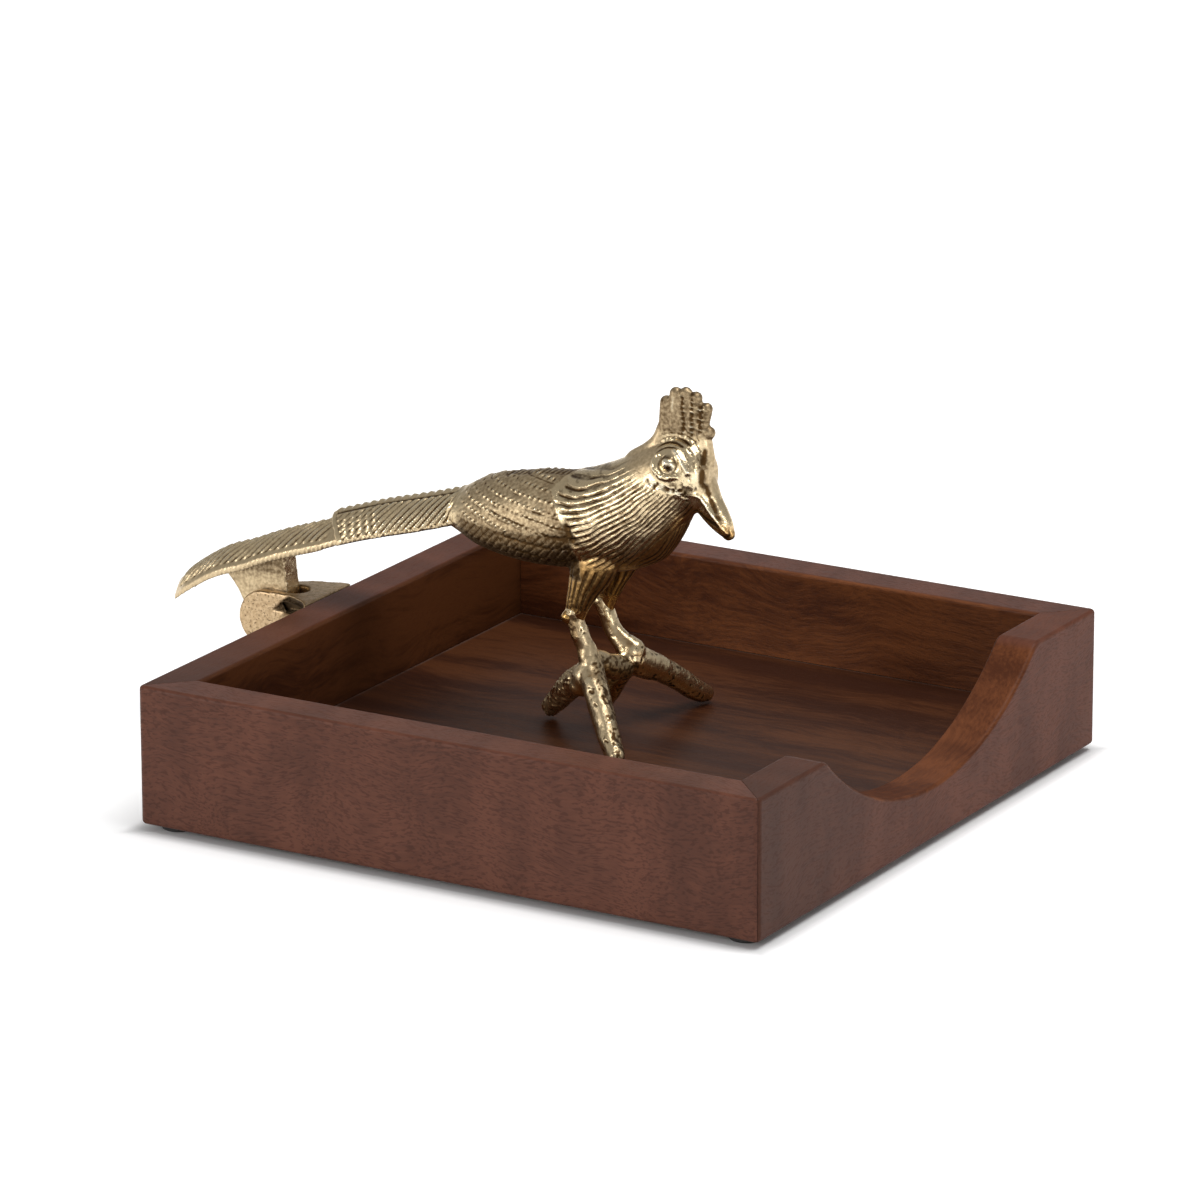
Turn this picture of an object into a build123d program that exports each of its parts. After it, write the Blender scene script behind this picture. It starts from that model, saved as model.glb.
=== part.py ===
from build123d import *
import math
import os

# Napkin tray with a cast bird hinged on its back wall. Millimetres, +Z up.
# The origin is on the table, under the middle of the whole length; the scooped wall faces -Y.
# Everything is drawn round the middle of the tray, and moved to that origin at the end.

# Tray walls: four mitred boards standing on pads.
tray_side = 200.0
wall_height = 41.0
wall_thickness = 13.0
corner_round = 1.8
edge_round = 1.2
mitre_gap = 0.12

# Scoop in the front wall, for reaching the napkins.
scoop_radius = 89.0
scoop_depth = 25.2
shoulder_round = 5.0

# Base panel, loose in a groove round the walls.
base_thickness = 8.0
base_lift = 5.8
groove_depth = 5.0
groove_play = 0.5
groove_clearance = 0.2

# Loose tongues hidden in the mitres.
spline_thickness = 3.0
spline_width = 8.0
spline_cover = 6.0
spline_lift = 2.0
spline_clearance = 0.1

# Pads under the corners.
pad_diameter = 10.0
pad_height = 2.0
pad_inset = 8.0
pad_round = 0.6

# Hinge bracket on the back wall: a flange, a hollow arm and two ears round the pin.
pin_diameter = 4.0
pin_reach = 18.5
pin_seat_clearance = 0.02
pin_running_clearance = 0.06
pin_chamfer = 0.4
pin_cover = 0.8
pin_sink = 0.5
ear_radius = 8.6
bracket_root_width = 27.0
bracket_end_width = 13.0
bracket_flare = 12.0
hollow_radius = 6.9
hollow_wall = 1.8
slot_clearance = 0.3
slot_gap = 0.5
flange_width = 56.0
flange_height = 20.0
flange_thickness = 3.0
flange_drop = 3.5
flange_round = 4.0

# Countersunk screws that hold the bracket.
screw_diameter = 3.5
screw_length = 13.0
screw_inset = 6.0
screw_head_diameter = 6.6
screw_head_height = 2.0
screw_clearance = 0.05
screw_slot_width = 0.9
screw_slot_depth = 0.9

# Tail casting: a curved roof that tapers to a round tip, with the hinge lug under it.
tail_length = 53.8
tail_overhang = 32.6
tail_step_rise = 32.2
tail_fall = 29.0
tail_width = 20.0
tail_crown = 5.5
tail_edge = 3.0
tail_thickness = 6.2
lug_thickness = 7.0
lug_radius = 7.4
lug_front_reach = 4.9
lug_rear_reach = 14.0
tenon_width = 8.0
tenon_height = 3.6
tenon_length = 12.0
tenon_drop = 1.0
tenon_clearance = 0.05

# Coverts: the thicker feathers over the root of the tail, part of the body casting.
covert_length = 50.0
covert_step = 2.3
covert_rise = 15.4
covert_width = 20.0
covert_crown = 6.0
covert_edge = 3.6
covert_thickness = 8.8

# Body and head of the bird.
body_start = 43.3
body_length = 83.0
body_depth = 43.8
body_width = 28.0
belly_rise = 29.8
eye_diameter = 6.4
eye_spacing = 16.6
eye_back = 10.0
eye_drop = 6.1

# Beak, bent down from the face.
beak_root_back = 5.0
beak_root_drop = 12.2
beak_reach = 10.0
beak_drop = 14.2
beak_depth = 13.0
beak_width = 10.0

# Crest: a row of round fingers on the crown, with a brow bump before it.
finger_count = 5
finger_radius = 2.0
finger_pitch = 3.1
crest_height = 14.6
crest_bow = 3.4
crest_back = 2.6
crest_sink = 4.0
brow_radius = 2.6
brow_back = 1.8
brow_rise = 1.5

# Thighs, part of the body casting, and the feet that plug into them.
leg_spacing = 18.0
ankle_forward = 107.2
ankle_rise = 17.7
hip_forward = 3.4
thigh_length = 26.0
thigh_width = 11.0
thigh_depth = 18.0
ankle_diameter = 6.2
spigot_diameter = 3.4
spigot_length = 5.0
spigot_clearance = 0.05
foot_gap = 0.3
foot_diameter = 8.6
foot_drop = 13.5
foot_forward = 6.8
toe_diameter = 6.0
toe_spread = 40.0
toe_stride = 30.0

# One overrun serves every cut that has to pass through a face.
overrun = 1.0

# Rows along the body, from the tail root to the face: place along body_length, lowest
# and highest point above the belly in body_depth, and width in body_width.
body_section_shares = (
    (0.00, 0.15, 0.41, 0.60),
    (0.12, 0.06, 0.53, 0.86),
    (0.29, 0.00, 0.61, 1.00),
    (0.47, 0.01, 0.67, 0.98),
    (0.63, 0.04, 0.78, 0.90),
    (0.75, 0.13, 0.90, 0.78),
    (0.83, 0.25, 0.97, 0.69),
    (0.905, 0.47, 1.00, 0.60),
    (0.965, 0.55, 0.96, 0.45),
    (1.00, 0.66, 0.88, 0.22),
)
# Rows along the coverts, from the step to the body: place, rise of the ridge, width.
covert_section_shares = (
    (0.00, 0.00, 0.97),
    (0.35, 0.38, 1.00),
    (0.70, 0.70, 0.95),
    (1.00, 1.00, 0.85),
)
# Rows along the tail, from the step to the tip: place, fall of the ridge, width, and
# how much of the crown, the upright edge and the thickness is left.
tail_section_shares = (
    (0.00, 0.00, 0.94, 1.00),
    (0.17, 0.103, 0.97, 1.00),
    (0.34, 0.217, 1.00, 1.00),
    (0.51, 0.352, 1.00, 1.00),
    (0.66, 0.455, 0.98, 0.98),
    (0.80, 0.603, 0.92, 0.93),
    (0.91, 0.752, 0.76, 0.80),
    (1.00, 0.907, 0.36, 0.42),
)
# Where the hollow rear edge of the lug passes, from the eye to the tail: back and up.
lug_waist_shares = (0.52, 0.40)
# Rows along the beak, from the face to the tip: forward, down, depth and width.
beak_section_shares = (
    (0.00, 0.00, 1.00, 1.00),
    (0.40, 0.38, 0.72, 0.74),
    (0.73, 0.70, 0.50, 0.54),
    (1.00, 1.00, 0.28, 0.34),
)
# Rows down a thigh: place along thigh_length, and how far it has narrowed to the ankle.
thigh_section_shares = (
    (0.00, 0.60),
    (0.25, 0.12),
    (0.46, 0.17),
    (0.64, 0.62),
    (0.81, 0.88),
    (1.00, 1.00),
)
# Toe tips from the middle of the foot: sideways in toe_spread, forward in toe_stride.
left_toe_shares = ((0.35, -0.78), (-0.45, 0.58))
right_toe_shares = ((0.10, -0.42), (0.75, 0.30))
# Rows along a toe, from the foot to the tip: place, height left, and thickness.
toe_section_shares = (
    (0.00, 1.00, 1.10),
    (0.30, 0.77, 1.00),
    (0.62, 0.36, 0.98),
    (0.90, 0.00, 0.98),
    (1.00, -0.02, 0.62),
)

# Places that follow from the sizes.
half_side = tray_side / 2
well_side = tray_side - 2 * wall_thickness
wall_bottom = pad_height
wall_top = wall_bottom + wall_height
scoop_floor = wall_top - scoop_depth
panel_bottom = wall_bottom + base_lift
panel_top = panel_bottom + base_thickness
pin_y = half_side + pin_reach
pin_z = wall_top - ear_radius
slot_width = lug_thickness + 2 * slot_clearance
flange_middle = wall_top - flange_drop - flange_height / 2
flange_face = half_side + flange_thickness
screw_place = flange_width / 2 - screw_inset
step_y = pin_y + tail_overhang - tail_length
step_z = pin_z + tail_step_rise
body_y = step_y - body_start
face_y = body_y - body_length
belly_z = pin_z + belly_rise
crown_z = belly_z + body_depth
ankle_y = pin_y - ankle_forward
ankle_z = pin_z + ankle_rise
foot_y = ankle_y - foot_forward
foot_z = ankle_z - foot_drop
toe_z = panel_top + foot_gap + toe_diameter / 2
tray_y = -(pin_reach + tail_overhang) / 2


def upright(y, z=0):
    """A drawing plane across the bird, seen from the front with X to the right."""
    return Plane(origin=(0, y, z), x_dir=(1, 0, 0), z_dir=(0, -1, 0))


def is_upright(edge):
    """True for a straight edge that runs up and down."""
    return edge.geom_type == GeomType.LINE and abs((edge % 0).Z) > abs((edge % 0).X) + abs((edge % 0).Y)


def board():
    """One plain mitred board, standing at the front of the tray."""
    slack = mitre_gap / math.sqrt(2)
    ring = RectangleRounded(tray_side, tray_side, corner_round) - Rectangle(well_side, well_side)
    left = (-tray_side, -tray_side - slack)
    right = (tray_side, -tray_side - slack)
    wedge = make_face(Polyline((0, -slack), left, right, close=True))
    return extrude(Pos(0, 0, wall_bottom) * (ring & wedge), wall_height)


def scooped(wall):
    """The board with the scoop cut down into its top edge, its shoulders rounded."""
    middle = (0, -half_side + wall_thickness / 2, scoop_floor + scoop_radius)
    wall -= Pos(*middle) * Rot(90, 0, 0) * Cylinder(scoop_radius, wall_thickness + 2 * overrun)
    return fillet(wall.edges().filter_by(Axis.Y), shoulder_round)


def softened(wall):
    """The board with its long edges rounded, outside all round and inside at the top."""
    outer_face = -half_side + edge_round / 2
    inner_face = -half_side + wall_thickness
    long_edges = [edge for edge in wall.edges() if not is_upright(edge)]
    outer = [edge for edge in long_edges if (edge @ 0).Y < outer_face and (edge @ 1).Y < outer_face]
    inner = [
        edge
        for edge in long_edges
        if math.isclose((edge @ 0).Y, inner_face, abs_tol=mitre_gap)
        and math.isclose((edge @ 1).Y, inner_face, abs_tol=mitre_gap)
        and edge.center().Z > panel_bottom
    ]
    return fillet(outer + inner, edge_round)


def grooved(wall):
    """The board with the groove for the base panel and the slots for its corner tongues."""
    reach = well_side + 2 * groove_depth
    height = base_thickness + groove_clearance
    wall -= Pos(0, 0, panel_bottom + height / 2) * Box(reach, reach, height)
    for side in (-1, 1):
        wall -= tongue(side, -1, spline_clearance)
    return wall


def tongue(side, end, clearance=0):
    """A flat tongue that crosses one mitre, hidden in the thickness of both boards."""
    low = panel_top + spline_lift
    height = wall_top - spline_cover - low
    middle = half_side - wall_thickness / 2
    plate = Box(spline_width + 2 * clearance, spline_thickness + 2 * clearance, height + 2 * clearance)
    return Pos(side * middle, end * middle, low + height / 2) * Rot(0, 0, 45 * side * -end) * plate


def base_panel():
    """The panel that carries the napkins, its edges in the grooves of the walls."""
    side = well_side + 2 * (groove_depth - groove_play)
    return Pos(0, 0, panel_bottom + base_thickness / 2) * Box(side, side, base_thickness)


def foot_pad(side, end):
    """One round pad under a corner of the tray."""
    place = half_side - pad_inset
    pad = Pos(side * place, end * place, pad_height / 2) * Cylinder(pad_diameter / 2, pad_height)
    return fillet(pad.edges().group_by(Axis.Z)[0], pad_round)


def across(x, radius, length):
    """A round bar along X whose left end is at x, on the hinge line."""
    return Pos(x + length / 2, pin_y, pin_z) * Rot(0, 90, 0) * Cylinder(radius, length)


def pin_ends():
    """The left end of the pin, blind in its ear, and the right end, sunk in the other."""
    ear_end = bracket_end_width / 2
    return pin_cover - ear_end, ear_end - pin_sink


def hinge_pin():
    """The steel pin, tight in the ears and free in the lug."""
    left, right = pin_ends()
    pin = across(left, pin_diameter / 2, right - left)
    return chamfer(pin.edges().filter_by(GeomType.CIRCLE), pin_chamfer)


def screw(side):
    """A slotted countersunk screw along Y, its head flush with the flange."""
    half_head = screw_head_diameter / 2
    half_shank = screw_diameter / 2
    outline = Polyline(
        (0, 0),
        (half_head, 0),
        (half_shank, -screw_head_height),
        (half_shank, -screw_length + half_shank),
        (0, -screw_length),
        close=True,
    )
    body = revolve(Plane.XZ * make_face(outline), Axis.Z)
    body -= Box(screw_head_diameter, screw_slot_width, 2 * screw_slot_depth)
    return Pos(side * screw_place, flange_face, flange_middle) * Rot(-90, 0, 0) * body


def screw_hole(side):
    """The space that a screw takes in the flange and in the wall behind it."""
    half_head = screw_head_diameter / 2 + screw_clearance
    half_shank = screw_diameter / 2 + screw_clearance
    outline = Polyline(
        (0, overrun),
        (half_head, overrun),
        (half_head, 0),
        (half_shank, -screw_head_height),
        (half_shank, -screw_length - screw_clearance),
        (0, -screw_length - screw_clearance),
        close=True,
    )
    hole = revolve(Plane.XZ * make_face(outline), Axis.Z)
    return Pos(side * screw_place, flange_face, flange_middle) * Rot(-90, 0, 0) * hole


def hinge_bracket():
    """The cast bracket: a hollow arm level with the top of the wall, slotted for the lug."""
    end_y = pin_y + ear_radius
    side_view = Rectangle(pin_reach, 2 * ear_radius, align=(Align.MAX, Align.CENTER)) + Circle(ear_radius)
    half_root = bracket_root_width / 2
    half_end = bracket_end_width / 2
    neck_y = half_side + bracket_flare
    right_edge = [(half_root, half_side), (half_end, neck_y), (half_end, end_y)]
    left_edge = [(-x, y) for x, y in reversed(right_edge)]
    plan = make_face(Polyline(*right_edge, *left_edge, close=True))
    ears = extrude(Plane(origin=(0, pin_y, pin_z), x_dir=(0, 1, 0), z_dir=(1, 0, 0)) * side_view, half_root, both=True)
    ears &= Pos(0, 0, pin_z - 2 * ear_radius) * extrude(plan, 4 * ear_radius)
    hollow_y = pin_y - pin_diameter / 2 - hollow_wall - hollow_radius
    ears -= Pos(0, hollow_y, pin_z) * Rot(0, 90, 0) * Cylinder(hollow_radius, bracket_root_width + 2 * overrun)
    flange_sketch = RectangleRounded(flange_width, flange_height, flange_round)
    flange = extrude(upright(half_side, flange_middle) * flange_sketch, -flange_thickness)
    slot_front = pin_y - lug_radius - slot_gap
    slot_length = end_y + overrun - slot_front
    slot = Pos(0, slot_front + slot_length / 2, pin_z) * Box(slot_width, slot_length, 4 * ear_radius)
    slot += Pos(0, slot_front, pin_z) * Cylinder(slot_width / 2, 4 * ear_radius)
    left, right = pin_ends()
    bore = across(left, pin_diameter / 2 + pin_seat_clearance, right + bracket_root_width)
    bracket = ears + flange - slot - bore
    for side in (-1, 1):
        bracket -= screw_hole(side)
    return bracket


def roof(y, ridge, width, crown, edge, thickness):
    """A section across the tail: crowned top, short upright edges, hollow underside."""
    half = width / 2
    eave = ridge - crown
    low = eave - edge
    outline = [
        ThreePointArc((-half, eave), (0, ridge), (half, eave)),
        Line((half, eave), (half, low)),
        ThreePointArc((half, low), (0, ridge - thickness), (-half, low)),
        Line((-half, low), (-half, eave)),
    ]
    return upright(y) * make_face(outline)


def coverts():
    """The feathered root of the tail, from inside the body back to the step."""
    sections = []
    for place, rise, width in covert_section_shares:
        ridge = covert_ridge(rise)
        y = step_y - place * covert_length
        sections.append(roof(y, ridge, width * covert_width, covert_crown, covert_edge, covert_thickness))
    return loft(sections)


def covert_ridge(rise_share):
    """Height of the ridge of the coverts, a share of its rise forward of the step."""
    return step_z + covert_step + rise_share * covert_rise


def tenon(clearance=0):
    """The tongue of the tail that is fixed in the coverts, following their slope."""
    sections = []
    for place, rise, _ in covert_section_shares[:2]:
        y = step_y - place * covert_length
        middle = covert_ridge(rise) - covert_thickness / 2 - tenon_drop
        size = Rectangle(tenon_width + 2 * clearance, tenon_height + 2 * clearance)
        sections.append(upright(y, middle) * size)
    whole = loft(sections)
    reach = tenon_length + clearance
    return whole & Pos(0, step_y - reach / 2, step_z) * Box(tail_width, reach, 2 * covert_rise)


def tail_ridge(y):
    """Height of the ridge of the tail at a place along it."""
    place = (y - step_y) / tail_length
    for (start, fall, _, _), (end, next_fall, _, _) in zip(tail_section_shares, tail_section_shares[1:]):
        if place <= end:
            break
    return step_z - tail_fall * (fall + (next_fall - fall) * (place - start) / (end - start))


def lug():
    """The plate under the tail that turns on the pin, with a round eye."""
    front = -lug_front_reach
    rear = lug_rear_reach
    front_top = tail_ridge(pin_y + front) - tail_thickness / 2 - pin_z
    rear_top = tail_ridge(pin_y + rear) - tail_thickness / 2 - pin_z
    waist_back, waist_up = lug_waist_shares
    waist = (lug_radius + waist_back * (rear - lug_radius), waist_up * rear_top)
    outline = [
        Line((-lug_radius, 0), (front, front_top)),
        Line((front, front_top), (rear, rear_top)),
        ThreePointArc((rear, rear_top), waist, (lug_radius, 0)),
        Line((lug_radius, 0), (-lug_radius, 0)),
    ]
    side_view = make_face(outline) + Circle(lug_radius)
    plane = Plane(origin=(0, pin_y, pin_z), x_dir=(0, 1, 0), z_dir=(1, 0, 0))
    return extrude(plane * side_view, lug_thickness / 2, both=True)


def tail():
    """The tail casting, from the step to its tip, with its lug and its tenon."""
    sections = []
    for place, fall, width, left in tail_section_shares:
        ridge = step_z - fall * tail_fall
        sizes = (tail_crown * left, tail_edge * left, tail_thickness * left)
        sections.append(roof(step_y + place * tail_length, ridge, width * tail_width, *sizes))
    casting = loft(sections) + lug() + tenon()
    half_width = lug_thickness / 2 + overrun
    return casting - across(-half_width, pin_diameter / 2 + pin_running_clearance, 2 * half_width)


def torso():
    """Body, neck and head as one smooth form through oval sections."""
    sections = []
    for place, low, high, width in body_section_shares:
        middle = belly_z + (low + high) / 2 * body_depth
        oval = Ellipse(width * body_width / 2, (high - low) * body_depth / 2)
        sections.append(upright(body_y - place * body_length, middle) * oval)
    return loft(sections)


def tube(points, sizes, first=None):
    """A form through ovals strung on points; sizes are the half widths along X and across."""
    points = [Vector(*point) for point in points]
    sections = []
    for index, (point, (wide, deep)) in enumerate(zip(points, sizes)):
        before = points[max(index - 1, 0)]
        after = points[min(index + 1, len(points) - 1)]
        heading = first if first and index == 0 else after - before
        sections.append(Plane(origin=point, x_dir=(1, 0, 0), z_dir=heading) * Ellipse(wide, deep))
    return loft(sections)


def beak():
    """The beak, from inside the face down to its tip."""
    points = []
    sizes = []
    for forward, down, depth, width in beak_section_shares:
        y = face_y + beak_root_back - forward * beak_reach
        points.append((0, y, crown_z - beak_root_drop - down * beak_drop))
        sizes.append((width * beak_width / 2, depth * beak_depth / 2))
    return tube(points, sizes)


def finger(y, top):
    """One upright crest feather with a round end."""
    low = crown_z - crest_sink
    bend = top - finger_radius
    outline = [
        Line((0, low), (finger_radius, low)),
        Line((finger_radius, low), (finger_radius, bend)),
        RadiusArc((finger_radius, bend), (0, top), -finger_radius),
        Line((0, top), (0, low)),
    ]
    return Pos(0, y, 0) * revolve(Plane.XZ * make_face(outline), Axis.Z)


def crest():
    """The row of crest feathers, tallest in the middle, and the brow before them."""
    middle = (finger_count - 1) / 2
    feathers = []
    for index in range(finger_count):
        y = face_y + crest_back + index * finger_pitch
        top = crown_z + crest_height - crest_bow * ((index - middle) / middle) ** 2
        feathers.append(finger(y, top))
    feathers.append(Pos(0, face_y + brow_back, crown_z + brow_rise) * Sphere(brow_radius))
    return feathers


def thigh(side):
    """A feathered thigh that narrows from the belly to the ankle."""
    sections = []
    for place, narrowed in thigh_section_shares:
        y = ankle_y - (1 - place) * hip_forward
        z = ankle_z + (1 - place) * thigh_length
        wide = thigh_width + narrowed * (ankle_diameter - thigh_width)
        deep = thigh_depth + narrowed * (ankle_diameter - thigh_depth)
        sections.append(Pos(side * leg_spacing / 2, y, z) * Ellipse(wide / 2, deep / 2))
    return loft(sections)


def spigot(side, clearance=0):
    """The round peg on top of a foot, which is fixed in the thigh."""
    length = spigot_length + clearance
    peg = Cylinder(spigot_diameter / 2 + clearance, length)
    return Pos(side * leg_spacing / 2, ankle_y, ankle_z + length / 2) * peg


def bird_body():
    """The body casting: torso, head, beak, crest, eyes, coverts and thighs."""
    casting = torso() + coverts() + beak() + crest()
    for side in (-1, 1):
        eye_x = side * (eye_spacing - eye_diameter) / 2
        casting += Pos(eye_x, face_y + eye_back, crown_z - eye_drop) * Sphere(eye_diameter / 2)
        casting += thigh(side)
        casting -= spigot(side, spigot_clearance)
    return casting - tenon(tenon_clearance)


def toe(middle, tip):
    """One toe that slopes from the foot down to its tip on the base."""
    points = []
    sizes = []
    for place, height, thickness in toe_section_shares:
        x, y = (start + place * (end - start) for start, end in zip(middle, tip))
        points.append((x, y, toe_z + height * (foot_z - toe_z)))
        sizes.append((thickness * toe_diameter / 2, thickness * toe_diameter / 2))
    return tube(points, sizes)


def foot(side, toe_shares):
    """A bare leg with its foot, from the peg in the thigh to the toe tips."""
    x = side * leg_spacing / 2
    half = ankle_diameter / 2
    points = [(x, ankle_y, ankle_z), (x, (ankle_y + foot_y) / 2, (ankle_z + foot_z) / 2), (x, foot_y, foot_z)]
    limb = tube(points, [(half, half)] * len(points), first=Vector(0, 0, -1))
    limb += Pos(x, foot_y, foot_z) * Sphere(foot_diameter / 2)
    for sideways, forward in toe_shares:
        limb += toe((x, foot_y), (x + sideways * toe_spread, foot_y - forward * toe_stride))
    return limb + spigot(side)


def walls():
    """The four boards of the tray, by name."""
    names = ("front_wall", "right_wall", "back_wall", "left_wall")
    boards = {}
    for turn, name in enumerate(names):
        plain = scooped(board()) if name == "front_wall" else board()
        boards[name] = Rot(0, 0, 90 * turn) * grooved(softened(plain))
    for side in (-1, 1):
        boards["back_wall"] -= screw_hole(side)
    return boards


nodes = walls()
nodes["base_panel"] = base_panel()
for end_name, end in (("front", -1), ("back", 1)):
    for side_name, side in (("left", -1), ("right", 1)):
        nodes[f"{end_name}_{side_name}_spline"] = tongue(side, end)
        nodes[f"{end_name}_{side_name}_pad"] = foot_pad(side, end)
nodes["hinge_bracket"] = hinge_bracket()
nodes["hinge_pin"] = hinge_pin()
nodes["left_bracket_screw"] = screw(-1)
nodes["right_bracket_screw"] = screw(1)
nodes["bird_body"] = bird_body()
nodes["tail"] = tail()
nodes["left_foot"] = foot(-1, left_toe_shares)
nodes["right_foot"] = foot(1, right_toe_shares)

os.makedirs("parts", exist_ok=True)
for name, shape in nodes.items():
    export_step(Pos(0, tray_y, 0) * shape, f"parts/{name}.step")
    print(name, len(shape.solids()), round(shape.volume))
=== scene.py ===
# %% [markdown]
# # A napkin tray with a hinged gold bird
# A square tray of dark stained boards holds a stack of napkins, and a cast bird on a hinge behind it keeps
# them down with its feet. The wood and the small hardware keep their CAD shapes and only need good
# finishes. The bird and its bracket were shaped by hand before they were cast, so here the five castings are
# sculpted again: the body, the tail, the bracket and two feet.

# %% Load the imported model
import bpy
import numpy as np
from mathutils import Matrix, Vector


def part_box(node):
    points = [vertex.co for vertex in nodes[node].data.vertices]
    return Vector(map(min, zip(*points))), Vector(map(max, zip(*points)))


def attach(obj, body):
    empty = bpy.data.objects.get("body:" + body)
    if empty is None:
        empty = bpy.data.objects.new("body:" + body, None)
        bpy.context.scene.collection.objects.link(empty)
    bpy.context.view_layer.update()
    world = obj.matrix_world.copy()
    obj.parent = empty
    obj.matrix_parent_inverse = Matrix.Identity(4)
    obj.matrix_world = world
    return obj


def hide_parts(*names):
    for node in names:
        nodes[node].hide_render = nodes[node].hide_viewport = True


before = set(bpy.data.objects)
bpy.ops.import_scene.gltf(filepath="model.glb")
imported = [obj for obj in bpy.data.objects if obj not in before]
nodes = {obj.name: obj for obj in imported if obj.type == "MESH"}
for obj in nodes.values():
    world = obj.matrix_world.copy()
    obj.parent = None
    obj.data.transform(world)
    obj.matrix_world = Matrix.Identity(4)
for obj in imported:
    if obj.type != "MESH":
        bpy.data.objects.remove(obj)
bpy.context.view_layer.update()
print("CAD nodes:", len(nodes))

# %% [markdown]
# The bird is drawn in millimetres round the middle of the tray, as a maker would measure it, and moved to
# the model's own origin at the end. The left board runs the whole depth of the tray, so the middle of the
# board is the middle of the tray.

# %% Find the middle of the tray
board_low, board_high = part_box("left_wall")
tray_middle = (board_low.y + board_high.y) / 2
millimetre = 0.001
print("tray middle at y =", round(tray_middle, 5))

# %% [markdown]
# ## Camera
# The camera was found from the tray's edges in the photograph: a long lens, seventeen degrees above the
# table. Its three directions are kept as plain vectors, because that is what the measurement gave.

# %% Place the camera
photo_pixels = 1200
focal_pixels = 7512.56
eye_place = Vector((-1.763288, -1.030531 + tray_middle, 0.689338))
right = Vector((0.506927, -0.861986, -0.002220))
up = Vector((0.256083, 0.148140, 0.955236))
back = right.cross(up)
lens = bpy.data.cameras.new("photo_camera")
lens.sensor_width = 36.0
lens.lens = focal_pixels * lens.sensor_width / photo_pixels
camera = bpy.data.objects.new("photo_camera", lens)
camera.matrix_world = Matrix((right, up, back)).transposed().to_4x4()
camera.matrix_world.translation = eye_place
bpy.context.scene.collection.objects.link(camera)
bpy.context.scene.camera = camera
print("lens", round(lens.lens, 1), "mm")

# %% [markdown]
# ## Writing shader maths as Python
# A finish is a small network of nodes. Wiring it by hand hides what it computes, so one class wraps an
# output socket and turns + - * into Math nodes. A second class owns the node tree and adds every other node.

# %% A socket that can be used in sums
class Wire:
    """One output socket; sums with it add Math nodes to its tree."""

    def __init__(self, sheet, socket):
        self.sheet = sheet
        self.socket = socket

    def math(self, operation, *values):
        return self.sheet.add("ShaderNodeMath", {"operation": operation}, dict(enumerate(values)))

    def __add__(self, other):
        return self.math("ADD", self, other)

    def __sub__(self, other):
        return self.math("SUBTRACT", self, other)

    def __rsub__(self, other):
        return self.math("SUBTRACT", other, self)

    def __mul__(self, other):
        return self.math("MULTIPLY", self, other)

    def __abs__(self):
        return self.math("ABSOLUTE", self)

    __radd__ = __add__
    __rmul__ = __mul__

    def larger(self, other):
        return self.math("MAXIMUM", self, other)

    def rise(self, low, high):
        """0 below low, 1 above high, and a soft step between."""
        sockets = {"Value": self, "From Min": low, "From Max": high}
        return self.sheet.add("ShaderNodeMapRange", {"interpolation_type": "SMOOTHSTEP"}, sockets)

    def between(self, first, second):
        """The first colour where this is 0, the second where it is 1."""
        return self.sheet.add("ShaderNodeMix", {"data_type": "RGBA"}, {0: self, 6: first, 7: second}, 2)

    def stretched(self, factors):
        return self.sheet.add("ShaderNodeVectorMath", {"operation": "MULTIPLY"}, {0: self, 1: factors})

    def moved(self, shift):
        return self.sheet.add("ShaderNodeVectorMath", {"operation": "ADD"}, {0: self, 1: shift})

    def axes(self):
        return [self.sheet.add("ShaderNodeSeparateXYZ", {}, {0: self}, axis) for axis in range(3)]


print("sockets can be added, multiplied and mixed")

# %% The tree that owns the nodes
class Sheet:
    """A node tree that is filled from Python."""

    def __init__(self, tree):
        self.tree = tree
        tree.nodes.clear()

    def add(self, kind, settings, sockets, output=0):
        node = self.tree.nodes.new(kind)
        for name, value in settings.items():
            setattr(node, name, value)
        for name, value in sockets.items():
            if isinstance(value, Wire):
                self.tree.links.new(value.socket, node.inputs[name])
            else:
                node.inputs[name].default_value = value
        return Wire(self, node.outputs[output]) if len(node.outputs) else None

    def spot(self):
        """The place of a surface point, in metres."""
        return self.add("ShaderNodeTexCoord", {}, {}, "Object")

    def painted(self, name):
        """A number that the sculpting left on the points."""
        return self.add("ShaderNodeAttribute", {"attribute_name": name}, {}, "Fac")


def new_finish(name):
    material = bpy.data.materials.new(name)
    material.use_nodes = True
    return material, Sheet(material.node_tree)


def surface(sheet, sockets):
    """Ends a finish with one Principled shader."""
    shader = sheet.add("ShaderNodeBsdfPrincipled", {}, sockets)
    sheet.add("ShaderNodeOutputMaterial", {}, {"Surface": shader})


def speckle(sheet, spot, scale, detail=2.0):
    """Noise at a scale in features per metre."""
    return sheet.add("ShaderNodeTexNoise", {}, {"Vector": spot, "Scale": scale, "Detail": detail})


def dented(sheet, height, depth, normal=None):
    """A bump whose height is in metres."""
    sockets = {"Height": height, "Distance": depth, "Strength": 1.0}
    if normal is not None:
        sockets["Normal"] = normal
    return sheet.add("ShaderNodeBump", {}, sockets)


print("shader helpers ready")

# %% [markdown]
# ## Studio
# Product shots like this one stand on white paper under large soft lamps. The sky gives an even fill. Near
# the horizon the camera and reflections see it as plain white, like paper that curves up behind the object,
# and the darker studio above it keeps some contrast in the metal. The paper on the table glows a little
# where the camera or a reflection sees it, so it comes out white. It does not glow under the tray, and its
# glow fades in over a few millimetres beside the tray, which paints a dark contact shadow along its foot.

# %% White sky
def is_seen(sheet):
    """1 for rays from the camera, from a reflection or through glass."""
    seen = [sheet.add("ShaderNodeLightPath", {}, {}, name) for name in ("Is Camera Ray", "Is Glossy Ray")]
    through = sheet.add("ShaderNodeLightPath", {}, {}, "Is Transmission Ray")
    return seen[0].larger(seen[1]).larger(through)


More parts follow.
